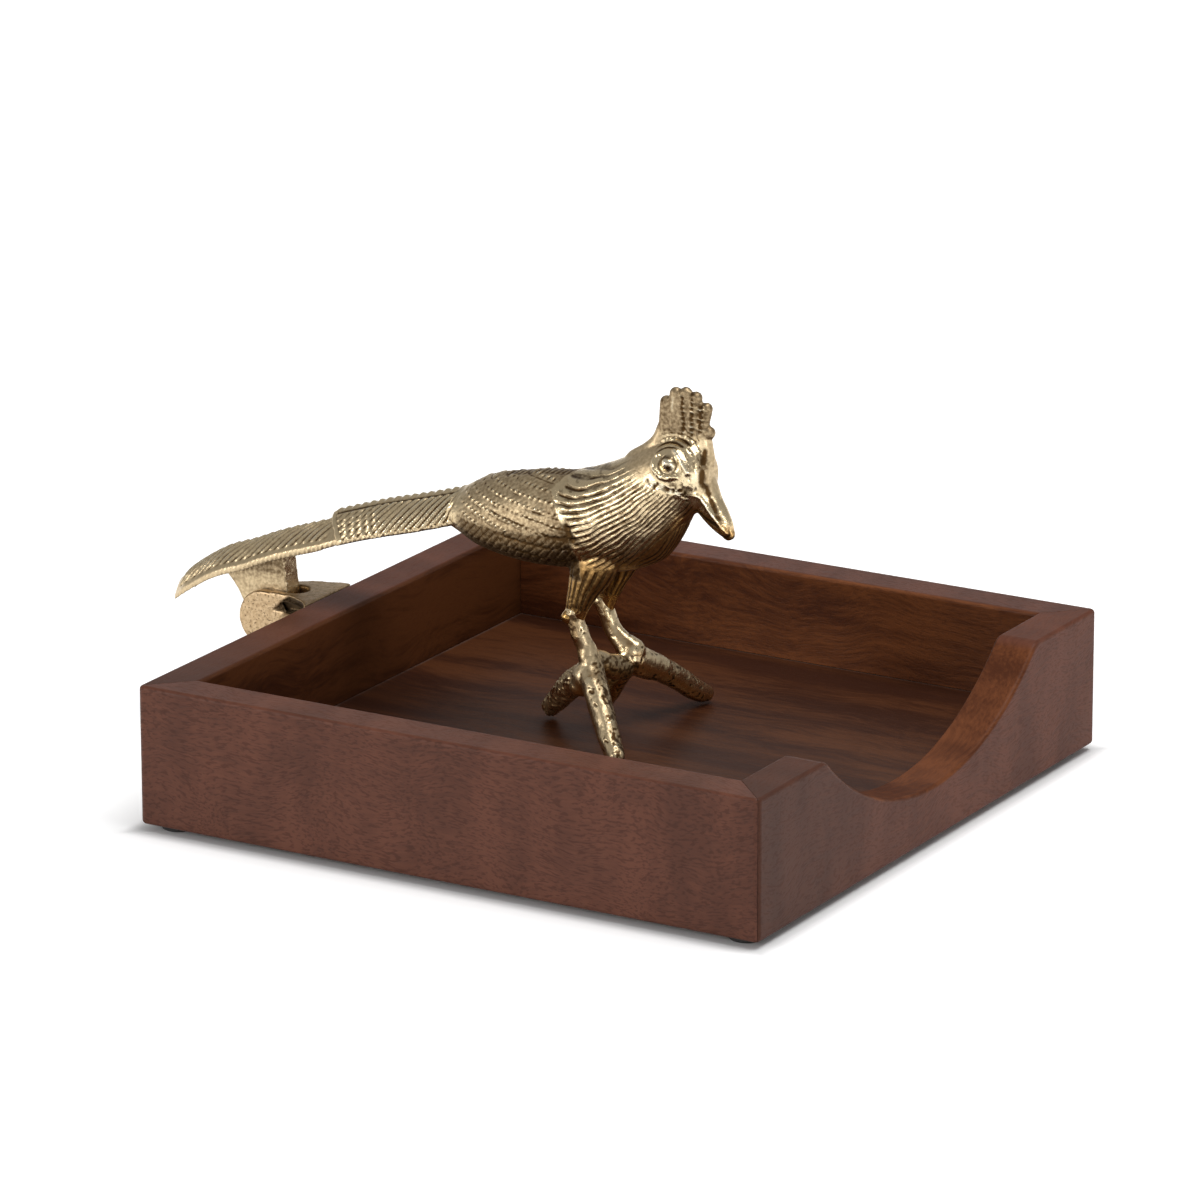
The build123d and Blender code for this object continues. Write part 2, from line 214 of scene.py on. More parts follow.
fill_strength = 0.38
paper_top, studio_start = 0.08, 0.2
sky = bpy.data.worlds.new("white_sky")
sky.use_nodes = True
bpy.context.scene.world = sky
sky_sheet = Sheet(sky.node_tree)
height = sky_sheet.add("ShaderNodeTexCoord", {}, {}, "Generated").axes()[2]
backdrop = is_seen(sky_sheet) * (1 - height.rise(paper_top, studio_start))
sky_light = backdrop * (1 - fill_strength) + fill_strength
glow = sky_sheet.add("ShaderNodeBackground", {}, {"Color": sky_light, "Strength": 1.0})
sky_sheet.add("ShaderNodeOutputWorld", {}, {"Surface": glow})
print("sky fill", fill_strength)

# %% White paper
paper_size = 8.0
paper_mesh = bpy.data.meshes.new("paper")
half_paper = paper_size / 2
paper_corners = [(-half_paper, -half_paper, 0), (half_paper, -half_paper, 0)]
paper_corners += [(half_paper, half_paper, 0), (-half_paper, half_paper, 0)]
paper_mesh.from_pydata(paper_corners, [], [(0, 1, 2, 3)])
paper = bpy.data.objects.new("paper", paper_mesh)
bpy.context.scene.collection.objects.link(paper)
paper_finish, sheet = new_finish("white_paper")
near_glow, far_glow = 0.40, 0.38
shadow_edge, near_end = 0.1000, 0.1058
far_start, far_end = 0.12, 0.45
diffuse = sheet.add("ShaderNodeBsdfDiffuse", {}, {"Color": (0.86, 0.86, 0.86, 1)})
paper_x, paper_y, _ = sheet.spot().axes()
from_tray = abs(paper_x).larger(abs(paper_y - tray_middle))
# painted shadow: the paper's glow fades in over the first few millimetres beside the tray, darkening a band
# along its foot
glow_near = near_glow * from_tray.rise(shadow_edge, near_end)
glow_far = far_glow * from_tray.rise(far_start, far_end)
glow_here = is_seen(sheet) * (glow_near + glow_far)
shine = sheet.add("ShaderNodeEmission", {}, {"Color": glow_here, "Strength": 1.0})
both = sheet.add("ShaderNodeAddShader", {}, {0: diffuse, 1: shine})
sheet.add("ShaderNodeOutputMaterial", {}, {"Surface": both})
paper_mesh.materials.append(paper_finish)
print("paper", paper_size, "m wide")

# %% Soft lamps
def soft_lamp(name, place, size, power):
    """A square lamp at a place, turned to the tray."""
    lamp = bpy.data.lights.new(name, "AREA")
    lamp.size = size
    lamp.energy = power
    holder = bpy.data.objects.new(name, lamp)
    holder.location = place
    holder.rotation_euler = (Vector((0, 0, 0.05)) - Vector(place)).to_track_quat("-Z", "Y").to_euler()
    bpy.context.scene.collection.objects.link(holder)


soft_lamp("top_lamp", (0.08, -0.42, 1.3), 0.8, 11.0)
soft_lamp("window_lamp", (-1.15, 0.75, 0.5), 0.4, 5.0)
soft_lamp("front_lamp", (-1.05, -1.2, 0.25), 0.4, 3.3)
bpy.context.scene.view_settings.view_transform = "Standard"
print("studio ready")

# %% [markdown]
# ## Stained wood
# The boards are an open-pored hardwood under a dark red-brown stain and satin lacquer. The pores show as
# fine dark dashes along the grain, and across it lies a soft banded figure; inside the well the colour runs
# in long streaks. All are noise, stretched one way or the other. Inside, the colour is warmer and darker,
# partly as painted shade for the well, and each board scales its inner colour by a painted light level:
# up on the inner right wall, which the lamps reach, and down on the back wall and the panel, which lie in
# shade. The sawn scoop is a warm brown, and painted shade darkens the front and back boards towards their
# left ends.

# %% A finish for boards
def stained_wood(name, grain_axis, gloss, inner_lighting, pores, end_shade, seam=False):
    """A painted light level scales the inner colour; the last two set the pores and the painted dark end."""
    material, sheet = new_finish(name)
    spot = sheet.spot()
    x, y, z = spot.axes()
    swirl = sheet.add("ShaderNodeTexNoise", {}, {"Vector": spot, "Scale": 26.0, "Detail": 1.0}, "Color")
    bent = spot.moved(swirl.stretched((0.02, 0.02, 0.02)))

    def streaks(place, across, along, detail):
        factors = [across, across, across]
        factors[grain_axis] = along
        return speckle(sheet, place.stretched(factors), 1.0, detail)

    from_middle = abs(x).larger(abs(y - tray_middle))
    inside = 1 - from_middle.rise(0.0874, 0.0880)
    level = sheet.add("ShaderNodeNewGeometry", {}, {}, "Normal").axes()[2]
    broad = streaks(spot, 70.0, 9.0, 4.0)
    figure = streaks(spot, 22.0, 75.0, 3.0)
    fibre = streaks(bent, 900.0, 45.0, 3.0)
    open_grain = (1 - 0.5 * inside) * (1 - 0.55 * level.rise(0.5, 0.9))
    pore = streaks(bent, 1700.0, 420.0, 2.0).rise(0.48, 0.62) * open_grain * pores
    bands = figure * 0.55 + broad * 0.15 + fibre * 0.3
    tone = (bands + inside * (broad * 0.5 - figure * 0.5)).rise(0.38, 0.62)
    outer = tone.between((0.090, 0.030, 0.0165, 1), (0.136, 0.047, 0.0265, 1))
    if end_shade:
        # painted shade: the outer face grows darker towards the board's left end
        end_shade_mask = (1 - x.rise(-0.095, -0.005)) * end_shade
        outer = end_shade_mask.between(outer, (0.052, 0.024, 0.016, 1))
    # painted light: each board's inner colour is scaled up where the lamps reach and down where the well lies
    # in shade
    inner_dark = (0.050 * inner_lighting, 0.0140 * inner_lighting, 0.005 * inner_lighting, 1)
    inner_light = (0.124 * inner_lighting, 0.0400 * inner_lighting, 0.0125 * inner_lighting, 1)
    inner = tone.between(inner_dark, inner_light)
    colour = inside.between(outer, inner)
    sawn = level.rise(0.15, 0.4) * (1 - z.rise(0.0405, 0.0425)) * z.rise(0.016, 0.0165)
    colour = sawn.between(colour, tone.between((0.074, 0.021, 0.0075, 1), (0.158, 0.050, 0.0175, 1)))
    colour = (pore * 0.42).between(colour, (0.034, 0.011, 0.007, 1))
    if seam:
        line = from_middle.rise(0.0862, 0.0868) * (0.1 + 0.5 * broad)
        colour = line.between(colour, (0.16, 0.11, 0.09, 1))
    rough = 0.36 + 0.14 * fibre + 0.15 * pore
    bump = dented(sheet, fibre * 0.3 - pore * 0.6, 0.00006)
    sockets = {"Base Color": colour, "Roughness": rough, "Normal": bump, "Specular IOR Level": gloss}
    surface(sheet, sockets)
    return material


print("board finish ready")

# %% Lay the grain along each board
def dress(name, material):
    mesh = nodes[name].data
    mesh.materials.clear()
    mesh.materials.append(material)


# the fourth number is a painted light level for the inside: bright for the inner right wall, dark for the
# back wall and panel
along_x = stained_wood("stained_wood_across", 0, 0.10, 0.74, 0.45, 0.6)
along_y = stained_wood("stained_wood_along", 1, 0.21, 1.7, 1.0, 0.0)
panel_wood = stained_wood("stained_wood_panel", 1, 0.25, 0.74, 1.0, 0.0, seam=True)
for name in ("front_wall", "back_wall"):
    dress(name, along_x)
for name in ("left_wall", "right_wall"):
    dress(name, along_y)
dress("base_panel", panel_wood)
print("boards dressed")

# %% [markdown]
# ## Small hardware
# The tongues in the mitres are bare wood, the pads are rubber, the pin is drawn steel, and the screws are
# turned brass. They hardly show, but each has the marks that its making leaves: fibres, moulding grain,
# drawing lines along the pin and turning rings on the screws. One function makes all four, from noise that is
# stretched along the marks.

# %% Finishes of the hidden pieces
def plain_finish(name, dark, light, marks, scale, rough, metal):
    material, sheet = new_finish(name)
    spot = sheet.spot()
    mark = speckle(sheet, spot.stretched(marks), scale, 3.0)
    colour = mark.rise(0.3, 0.7).between(dark, light)
    bump = dented(sheet, mark, 0.00006)
    sockets = {"Base Color": colour, "Roughness": rough + 0.2 * mark, "Normal": bump, "Metallic": metal}
    surface(sheet, sockets)
    return material


bare_wood = plain_finish(
    "bare_wood", (0.34, 0.20, 0.10, 1), (0.52, 0.34, 0.19, 1), (1, 1, 0.1), 900.0, 0.5, 0.0)
rubber = plain_finish(
    "pad_rubber", (0.018, 0.017, 0.016, 1), (0.040, 0.037, 0.035, 1), (1, 1, 1), 1500.0, 0.6, 0.0)
steel = plain_finish(
    "drawn_steel", (0.42, 0.42, 0.41, 1), (0.62, 0.61, 0.60, 1), (0.05, 1, 1), 2500.0, 0.2, 1.0)
brass = plain_finish(
    "turned_brass", (0.42, 0.30, 0.14, 1), (0.60, 0.46, 0.24, 1), (1, 0.1, 1), 2500.0, 0.22, 1.0)
for corner in ("front_left", "front_right", "back_left", "back_right"):
    dress(corner + "_spline", bare_wood)
    dress(corner + "_pad", rubber)
dress("hinge_pin", steel)
dress("left_bracket_screw", brass)
dress("right_bracket_screw", brass)
print("hardware dressed")

# %% [markdown]
# ## Gold
# The bracket is left as it came out of the mould: pale, dull and pitted, and the hollows under its plate
# get painted shade.
# The bird was polished after casting, so its high spots shine and its grooves keep a dark film. The sculpting
# below leaves a number called relief on every point, from 0 in a groove to 1 on a ridge, and the finish reads
# it to place shine and film. Another number says how far the spot was polished; past 0.8 it also paints a
# pale highlight into the colour. One more paints a warm reflection of the wood, as an amber tint on the lower
# skin. Two more count engraved lines and say how strong they are, because a line drawn by the finish stays
# sharper than one pressed into the mesh.

# %% Cast gold for the bracket
def cast_gold(name):
    material, sheet = new_finish(name)
    spot = sheet.spot()
    grain = speckle(sheet, spot, 900.0, 3.0)
    pits = speckle(sheet, spot, 1700.0, 1.0).rise(0.62, 0.72)
    hollow_shade = sheet.painted("hollow_shade")
    colour = grain.rise(0.3, 0.7).between((0.42, 0.29, 0.160, 1), (0.60, 0.44, 0.265, 1))
    colour = (pits * 0.35).between(colour, (0.13, 0.085, 0.04, 1))
    # painted shade: the hollow under the plate turns a dark brown
    colour = hollow_shade.between(colour, (0.060, 0.038, 0.020, 1))
    bump = dented(sheet, grain * 0.5 - pits, 0.00018)
    rough = 0.36 + 0.12 * grain + 0.2 * pits
    surface(sheet, {"Base Color": colour, "Roughness": rough, "Normal": bump, "Metallic": 1.0})
    return material


bracket_gold = cast_gold("matte_gold")
print("bracket gold ready")

# %% Polished gold for the bird
def polished_gold(name):
    material, sheet = new_finish(name)
    spot = sheet.spot()
    relief, polish_and_glint, wood_reflection = sheet.painted("relief"), sheet.painted("polish_and_glint"), sheet.painted("wood_reflection")
    count, hairs = sheet.painted("hair_count"), sheet.painted("hair_depth")
    grain = speckle(sheet, spot, 1100.0, 3.0)
    ripple = speckle(sheet, spot, 330.0, 2.0)
    off_line = abs(count.math("FRACT", count + 0.3 * ripple) - 0.5)
    line = off_line.rise(0.33, 0.46) * hairs * ripple.rise(0.32, 0.55)
    film = (1 - (relief + 0.3 * (grain - 0.5)).rise(0.12, 0.55)).larger(line * 0.9)
    bright = polish_and_glint.larger(relief.rise(0.64, 0.85))
    colour = grain.rise(0.3, 0.7).between((0.44, 0.325, 0.190, 1), (0.60, 0.465, 0.285, 1))
    colour = bright.between(colour, (0.76, 0.61, 0.38, 1))
    # painted highlight: near full polish the colour turns a pale, almost white gold
    colour = polish_and_glint.rise(0.8, 1.0).between(colour, (0.92, 0.82, 0.61, 1))
    # painted reflection: an amber tint stands in for the warm wood that the lower skin faces
    colour = wood_reflection.between(colour, colour.stretched((0.80, 0.56, 0.27)))
    colour = film.between(colour, (0.080, 0.042, 0.015, 1))
    rough = 0.42 - 0.28 * bright + 0.10 * ripple + 0.15 * film
    bump = dented(sheet, grain * 0.35 + ripple * 0.7 - line * 0.4, 0.0003)
    surface(sheet, {"Base Color": colour, "Roughness": rough, "Normal": bump, "Metallic": 1.0})
    return material


bird_gold = polished_gold("polished_gold")
print("gold ready")

# %% [markdown]
# ## Sculpting tools
# A casting starts as simple closed forms: rings of points along a line. They may overlap freely, because
# Blender's voxel Remesh melts them into one skin of even small squares, like clay pressed together. Feathers
# are then pressed in by moving the points of that skin along their normals, which numpy does in one go.

# %% Smooth curves and rings
def eased(knots, values, at):
    """Values on a smooth curve through the knots."""
    knots = np.asarray(knots, float)
    values = np.asarray(values, float)
    slopes = np.gradient(values, knots)
    before = np.clip(np.searchsorted(knots, at) - 1, 0, len(knots) - 2)
    span = knots[before + 1] - knots[before]
    t = (at - knots[before]) / span
    start = (1 + 2 * t) * (1 - t) ** 2 * values[before] + t * (1 - t) ** 2 * span * slopes[before]
    end = t * t * (3 - 2 * t) * values[before + 1] + t * t * (t - 1) * span * slopes[before + 1]
    return start + end


def skin(rings):
    """A closed form through rings of points, as points and faces."""
    rings = np.asarray(rings, float)
    count, around = rings.shape[:2]
    index = np.arange(count * around).reshape(count, around)
    here, there = index[:-1], index[1:]
    sides = np.stack([here, np.roll(here, -1, 1), np.roll(there, -1, 1), there], -1).reshape(-1, 4)
    faces = [tuple(face) for face in sides.tolist()]
    faces += [tuple(index[0, ::-1].tolist()), tuple(index[-1].tolist())]
    return rings.reshape(-1, 3), faces


print("curves and skins ready")

# %% Round bars along a bent line
turn = np.linspace(0, 2 * np.pi, 32, endpoint=False)
cap_steps = (0.25, 0.5, 0.8, 0.97)


def spokes(side, over, flat):
    return flat * np.cos(turn)[:, None] * side + np.sin(turn)[:, None] * over


def cap_ring(place, outward, radius, around, reach):
    """A ring on the round end of a bar; reach is 0 at the bar and 1 at its tip."""
    return place + outward * radius * reach + radius * np.sqrt(1 - reach * reach) * around


def bar(points, radii, flat=1.0):
    """A round bar along a smooth line; flat narrows it sideways."""
    points = np.asarray(points, float)
    radii = np.asarray(radii, float)
    knots = np.concatenate([[0], np.cumsum(np.linalg.norm(np.diff(points, axis=0), axis=1))])
    at = np.linspace(0, knots[-1], 40)
    path = np.stack([eased(knots, points[:, axis], at) for axis in range(3)], 1)
    size = eased(knots, radii, at)
    ahead = np.gradient(path, axis=0)
    ahead /= np.linalg.norm(ahead, axis=1)[:, None]
    side = np.cross(ahead, (0.0, 0.31, 0.95) if abs(ahead[0, 2]) < 0.9 else (0.0, 1.0, 0.0))
    side /= np.linalg.norm(side, axis=1)[:, None]
    over = np.cross(side, ahead)
    first, last = spokes(side[0], over[0], flat), spokes(side[-1], over[-1], flat)
    rings = [cap_ring(path[0], -ahead[0], size[0], first, reach) for reach in cap_steps[::-1]]
    rings += [p + r * spokes(s, o, flat) for p, r, s, o in zip(path, size, side, over)]
    rings += [cap_ring(path[-1], ahead[-1], size[-1], last, reach) for reach in cap_steps]
    return skin(rings)


def ball(middle, radius):
    """A ball as a very short bar."""
    middle = np.asarray(middle, float)
    tiny = np.array((0.0, 0.0, 0.02 * radius))
    return bar([middle - tiny, middle, middle + tiny], [radius] * 3)


print("bars have", len(turn), "sides")

# %% Melt forms into one skin
def melted(name, forms, grain, rounds):
    """One remeshed object from overlapping forms, smoothed a few rounds."""
    points, faces = [], []
    for form_points, form_faces in forms:
        shift = sum(len(p) for p in points)
        points.append(form_points)
        faces += [tuple(i + shift for i in face) for face in form_faces]
    mesh = bpy.data.meshes.new(name + "_forms")
    mesh.from_pydata(np.concatenate(points).tolist(), [], faces)
    clay = bpy.data.objects.new(name, mesh)
    bpy.context.scene.collection.objects.link(clay)
    remesh = clay.modifiers.new("melt", "REMESH")
    remesh.mode = "VOXEL"
    remesh.voxel_size = grain
    soften = clay.modifiers.new("soften", "SMOOTH")
    soften.factor = 0.5
    soften.iterations = rounds
    fresh = bpy.data.meshes.new_from_object(clay.evaluated_get(bpy.context.evaluated_depsgraph_get()))
    clay.modifiers.clear()
    clay.data = fresh
    fresh.name = name
    return clay


def points_of(clay):
    """Points and normals of a skin, as two arrays."""
    mesh = clay.data
    points = np.empty(len(mesh.vertices) * 3, np.float32)
    normals = np.empty(len(mesh.vertices) * 3, np.float32)
    mesh.vertices.foreach_get("co", points)
    mesh.vertex_normals.foreach_get("vector", normals)
    return points.reshape(-1, 3).astype(float), normals.reshape(-1, 3).astype(float)


print("clay can be melted")

# %% Finish a casting
def finish_casting(clay, points, marks, node, body="bird"):
    """Puts the sculpted points back, in metres, and hangs the casting in its CAD place."""
    mesh = clay.data
    placed = points * millimetre + np.array((0, tray_middle, 0))
    mesh.vertices.foreach_set("co", placed.astype(np.float32).ravel())
    for title, values in marks.items():
        mesh.attributes.new(title, "FLOAT", "POINT").data.foreach_set("value", values.astype(np.float32))
    mesh.polygons.foreach_set("use_smooth", np.ones(len(mesh.polygons), bool))
    mesh.materials.clear()
    mesh.materials.append(bird_gold if body == "bird" else bracket_gold)
    mesh.update()
    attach(clay, body)
    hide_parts(node)
    triangles = sum(len(p.vertices) - 2 for p in mesh.polygons)
    print(clay.name, "triangles", triangles)


print("castings can be hung in place")

# %% [markdown]
# Every mark in the feathers is one of three things: a soft step that limits it to its place, a groove across
# a number that counts lines, or a field of such numbers. The field is fitted through a few lines that were
# drawn on the bird's side, so that the grooves between them follow the same sweep. A hand never cuts evenly,
# so a slow random wandering bends the lines and changes their depth.

# %% Marks
def rise(value, low, high):
    t = np.clip((value - low) / (high - low), 0, 1)
    return t * t * (3 - 2 * t)


def fall(value, low, high):
    return 1 - rise(value, low, high)


def groove(count, width):
    """1 in the middle of each groove, one for every whole number."""
    return np.exp(-(((count + 0.5) % 1 - 0.5) / width) ** 2)


def mound(distance, width):
    return np.exp(-(distance / width) ** 2)


def wave(count):
    return np.cos(2 * np.pi * count)


print("marks ready: steps, grooves, mounds and waves")

# %% Random wandering
lattice = np.random.default_rng(11).random((32, 32, 32))


def drift(points, size):
    """Slow random numbers from 0 to 1, in blobs of a size in millimetres."""
    whole = np.floor(points / size).astype(int)
    t = points / size - whole
    t = t * t * (3 - 2 * t)
    total = np.zeros(len(points))
    for corner in np.ndindex(2, 2, 2):
        weight = np.prod(np.where(corner, t, 1 - t), axis=1)
        i, j, k = ((whole + corner) % len(lattice)).T
        total += weight * lattice[i, j, k]
    return total


print("random lattice of", lattice.size, "numbers")

# %% Lines drawn on the side
def sweep_field(lines, numbers, y, z):
    """A smooth number over the side view that keeps its value along each drawn line."""
    def terms(y, z):
        y, z = np.asarray(y) / 20, (np.asarray(z) - 85) / 20
        return np.stack([np.ones_like(y), y, z, y * y, y * z, z * z], -1)

    drawn = np.array([point for line in lines for point in line], float)
    wanted = np.repeat(numbers, [len(line) for line in lines])
    weights = np.linalg.lstsq(terms(drawn[:, 0], drawn[:, 1]), wanted, rcond=None)[0]
    return terms(y, z) @ weights


def from_line(line, y, z):
    """Nearest distance to a drawn line in the side view."""
    line = np.asarray(line, float)
    nearest = np.full(np.shape(y), 1e9)
    for (y0, z0), (y1, z1) in zip(line[:-1], line[1:]):
        length = (y1 - y0) ** 2 + (z1 - z0) ** 2
        t = np.clip(((y - y0) * (y1 - y0) + (z - z0) * (z1 - z0)) / length, 0, 1)
        nearest = np.minimum(nearest, np.hypot(y - y0 - t * (y1 - y0), z - z0 - t * (z1 - z0)))
    return nearest


print("drawn lines ready")

# %% A skin under the graver
class Carving:
    """The points of a skin while marks are pressed into it."""

    def __init__(self, clay):
        self.points, self.normals = points_of(clay)
        self.lift = np.zeros(len(self.points))
        self.dark = np.zeros(len(self.points))
        self.hair_count = np.zeros(len(self.points))
        self.hair_depth = np.zeros(len(self.points))
        self.polish_and_glint = np.full(len(self.points), 0.75)
        self.wood_reflection = np.zeros(len(self.points))

    def cut(self, mark, depth, film):
        """Presses a mark in and remembers where dark film stays."""
        self.lift -= depth * mark
        self.dark = np.maximum(self.dark, film * mark)

    def rub_and_glint(self, mark):
        """Polishes the skin where a mark lies; near full polish it also paints a pale highlight."""
        self.polish_and_glint = np.maximum(self.polish_and_glint, mark)

    def dull(self, mark):
        """Leaves the skin matte where a mark lies."""
        self.polish_and_glint = self.polish_and_glint * (1 - mark)

    def comb(self, mark, count):
        """Engraves lines where a mark is strongest, one for every whole number."""
        self.hair_count = np.where(mark > self.hair_depth, count, self.hair_count)
        self.hair_depth = np.maximum(self.hair_depth, mark)

    def moved(self):
        return self.points + self.normals * self.lift[:, None]

    def marks(self):
        relief = np.minimum(0.60 + 0.6 * self.lift, 0.9) * (1 - self.dark) + 0.05 * self.dark
        lines = {"hair_count": self.hair_count, "hair_depth": self.hair_depth}
        shine = {"polish_and_glint": np.clip(self.polish_and_glint, 0, 1), "wood_reflection": np.clip(self.wood_reflection, 0, 1)}
        return {"relief": np.clip(relief, 0, 1), **shine, **lines}


print("graver ready")

# %% [markdown]
# ## Body casting
# The body is drawn as a row of ovals from the root of the tail to the face: where they stand, their lowest
# and highest points and half their width. Behind the shoulder they are widest low down, where the folded
# wings end. The coverts, the feathers over the root of the tail, are a thick roof that ends in a rounded
# tongue. Beak, crest, eyes and thighs are bars, plates and balls.

# %% Torso and head
torso_y = (54.0, 44.0, 29.9, 15.0, 1.7, -8.3, -14.9, -18.2, -21.1, -26.1, -29.0)
torso_low = (70.8, 67.3, 64.9, 64.8, 65.2, 68.3, 72.7, 77.7, 83.6, 88.3, 93.1)
torso_high = (82.2, 87.4, 90.9, 93.5, 98.4, 103.6, 106.7, 107.7, 108.0, 106.2, 102.7)
torso_half = (8.4, 12.0, 14.0, 13.7, 12.6, 10.9, 9.7, 9.1, 8.4, 6.3, 3.1)
stations = np.linspace(torso_y[0], torso_y[-1], 110)
knots = -np.array(torso_y)
lows = eased(knots, torso_low, -stations)
highs = eased(knots, torso_high, -stations)
halves = eased(knots, torso_half, -stations)
circle = np.linspace(0, 2 * np.pi, 96, endpoint=False)
widest = np.interp(stations, (-5, 8, 20, 44, 54), (0.5, 0.45, 0.3, 0.3, 0.45))
rings = []
for y, low, high, half, share in zip(stations, lows, highs, halves, widest):
    middle = low + share * (high - low)
    height = middle + np.where(np.sin(circle) > 0, high - middle, middle - low) * np.sin(circle)
    rings.append(np.stack([half * np.cos(circle), np.full(len(circle), y), height], 1))
torso = skin(rings)
print("torso from y", torso_y[0], "to", torso_y[-1])

# %% Coverts as a roof
def roof_ring(y, ridge, half, crown, edge, thickness):
    """Points round a roof: over the crown, down the edge and back under it."""
    over = np.linspace(-1, 1, 41)
    under = np.linspace(1, -1, 41)
    top = np.stack([half * over, -crown * over**2], 1)
    low = -crown - edge
    bottom = np.stack([half * under, -thickness + (low + thickness) * under**2], 1)
    outline = np.concatenate([top, bottom])
    return np.stack([outline[:, 0], np.full(len(outline), y), ridge + outline[:, 1]], 1)


roof_y = np.array((47.3, 62.3, 79.8, 97.3))
roof_ridge = np.array((84.3, 79.7, 74.75, 68.9))
covert_start, covert_end = roof_y[0], roof_y[-1]
covert_length, covert_tongue = covert_end - covert_start, 7.0
covert_crown, covert_edge, covert_thickness = 8.2, 1.4, 8.8
rings = []
for share in np.linspace(0, 1, 60):
    half = eased((0, 0.3, 0.65, 1), (8.6, 9.5, 10.0, 9.8), share)
    ring = roof_ring(0, 0, half, covert_crown, covert_edge, covert_thickness)
    ring[:, 1] = covert_start + (covert_length - covert_tongue * (ring[:, 0] / 10) ** 2) * share
    ring[:, 2] += eased(roof_y, roof_ridge, ring[:, 1])
    rings.append(ring)
coverts = skin(rings)
print("coverts from y", covert_start, "to", covert_end)

# %% Beak and eyes
beak_path = [(0, -22.5, 97.0), (0, -25.4, 92.8), (0, -28.0, 89.1)]
beak_path += [(0, -30.7, 85.7), (0, -33.0, 82.9), (0, -34.0, 81.5)]
beak = bar(beak_path, [6.6, 5.4, 4.4, 3.75, 2.8, 2.0], 0.8)
eyes = [ball((side * 6.4, -18.6, 101.5), 2.5) for side in (-1, 1)]
print("beak tip at", beak_path[-1])

# %% Crest
finger_feet = ((-13.4, 105.0), (-16.2, 106.0), (-19.2, 106.5), (-22.0, 106.0), (-24.6, 104.5))
finger_tips = ((-13.8, 117.4), (-16.9, 120.3), (-20.1, 120.7), (-23.4, 119.8), (-26.7, 117.1))
fingers = []
for foot, tip in zip(finger_feet, finger_tips):
    middle = ((foot[0] + tip[0]) / 2 + 0.2, (foot[1] + tip[1]) / 2)
    fingers.append(bar([(0, *foot), (0, *middle), (0, *tip)], [1.9, 1.85, 1.9]))
fan_outline = [(-11.9, 104.0), (-11.9, 110.0), (-12.4, 116.2), (-14.2, 117.4), (-16.9, 119.2)]
fan_outline += [(-20.0, 119.6), (-23.2, 118.7), (-26.2, 116.4)]
fan_outline += [(-27.2, 112.0), (-27.4, 106.0), (-24.0, 101.0)]
fan = skin([[(side * 1.35, *corner) for corner in fan_outline] for side in (-1, 1)])
brow = ball((0, -27.6, 110.2), 1.9)
forehead = bar([(0, -25.8, 111.0), (0, -26.2, 107.0), (0, -26.6, 102.0)], [2.1, 2.3, 2.8])
nape_path = [(0, -4.0, 98.5), (0, -9.0, 102.2), (0, -11.6, 106.0), (0, -12.8, 110.5)]
nape = bar(nape_path, [3.5, 3.2, 2.4, 1.6])
print("crest fingers", len(fingers))

# %% Thighs, and one skin over all
thighs = []
for side in (-1, 1):
    places = [(side * 5.4, 5.0, 74.0), (side * 6.6, 6.5, 67.5), (side * 8.2, 9.0, 60.0)]
    places += [(side * 9.0, 10.6, 54.8), (side * 9.0, 11.3, 51.6)]
    thighs.append(bar(places, [8.0, 7.4, 4.8, 3.5, 2.9], 0.62))
    thighs.append(ball((side * 9.6, 12.9, 52.3), 2.1))
forms = [torso, coverts, beak, brow, forehead, nape, fan] + fingers + eyes + thighs
body = melted("bird_casting", forms, 0.40, 5)
carving = Carving(body)
x, y, z = carving.points.T
beside = np.abs(x)
wander = drift(carving.points, 5.0) - 0.5
patchy = drift(carving.points, 3.0)
print("body points", len(x))

# %% [markdown]
# The breast feathers are long grooves that sweep back from the throat to the shoulder, and round the front
# of the breast they run down its middle. The wing lies behind them, with brick-like tiers along its lower
# edge and slanting rows of short dashes above. Each patch of skin gets a number from 0 to 1 that says how far
# a point belongs to it.

# %% Where breast and wing lie
breast_lines = (
    ((-2.8, 98.1), (5.8, 95.8), (13.0, 93.5)), ((-5.2, 96.4), (3.3, 93.6), (11.2, 90.2)),
    ((-9.5, 92.9), (0.4, 88.8), (10.8, 83.5)), ((-12.2, 91.8), (-2.6, 84.8), (9.1, 77.7)),
    ((-15.3, 90.1), (-6.1, 82.5), (5.8, 74.9)), ((-19.0, 89.8), (-9.9, 81.8), (0.9, 74.3)),
    ((-21.5, 89.7), (-12.3, 79.7), (-2.4, 72.1)), ((-23.2, 88.5), (-17.0, 79.0), (-5.7, 69.1)),
)
wing_lines = (
    ((46.6, 74.0), (42.5, 72.1), (37.7, 70.9), (32.9, 68.1), (28.2, 66.1), (19.9, 66.7), (14.1, 68.9)),
    ((44.1, 76.8), (37.7, 75.5), (33.5, 74.1), (29.2, 72.6), (22.9, 71.3), (13.9, 72.1)),
    ((35.8, 79.4), (28.6, 76.5), (21.9, 75.9), (13.0, 76.4)), ((28.7, 80.3), (21.8, 80.1), (15.0, 80.3)),
    ((49.4, 84.3), (36.8, 84.7), (25.0, 84.8), (17.3, 84.5)),
    ((45.9, 87.4), (36.7, 87.1), (26.1, 87.2), (18.8, 88.2)), ((37.6, 90.5), (25.2, 90.4), (20.2, 90.7)),
)
breast_count = 2.6 * sweep_field(breast_lines, np.arange(8), y, z) + 0.7 * wander
wing_count = sweep_field(wing_lines, (0, 1, 2, 3, 4.2, 5, 6), y, z) + 0.12 * wander
shoulder_z = (60, 72, 77.5, 80.9, 83.9, 88.7, 92, 94.8, 98)
shoulder = np.interp(z, shoulder_z, (6, 9, 10.7, 12.3, 14.9, 18.5, 16.4, 13.5, 9)) + 1.5 * wander
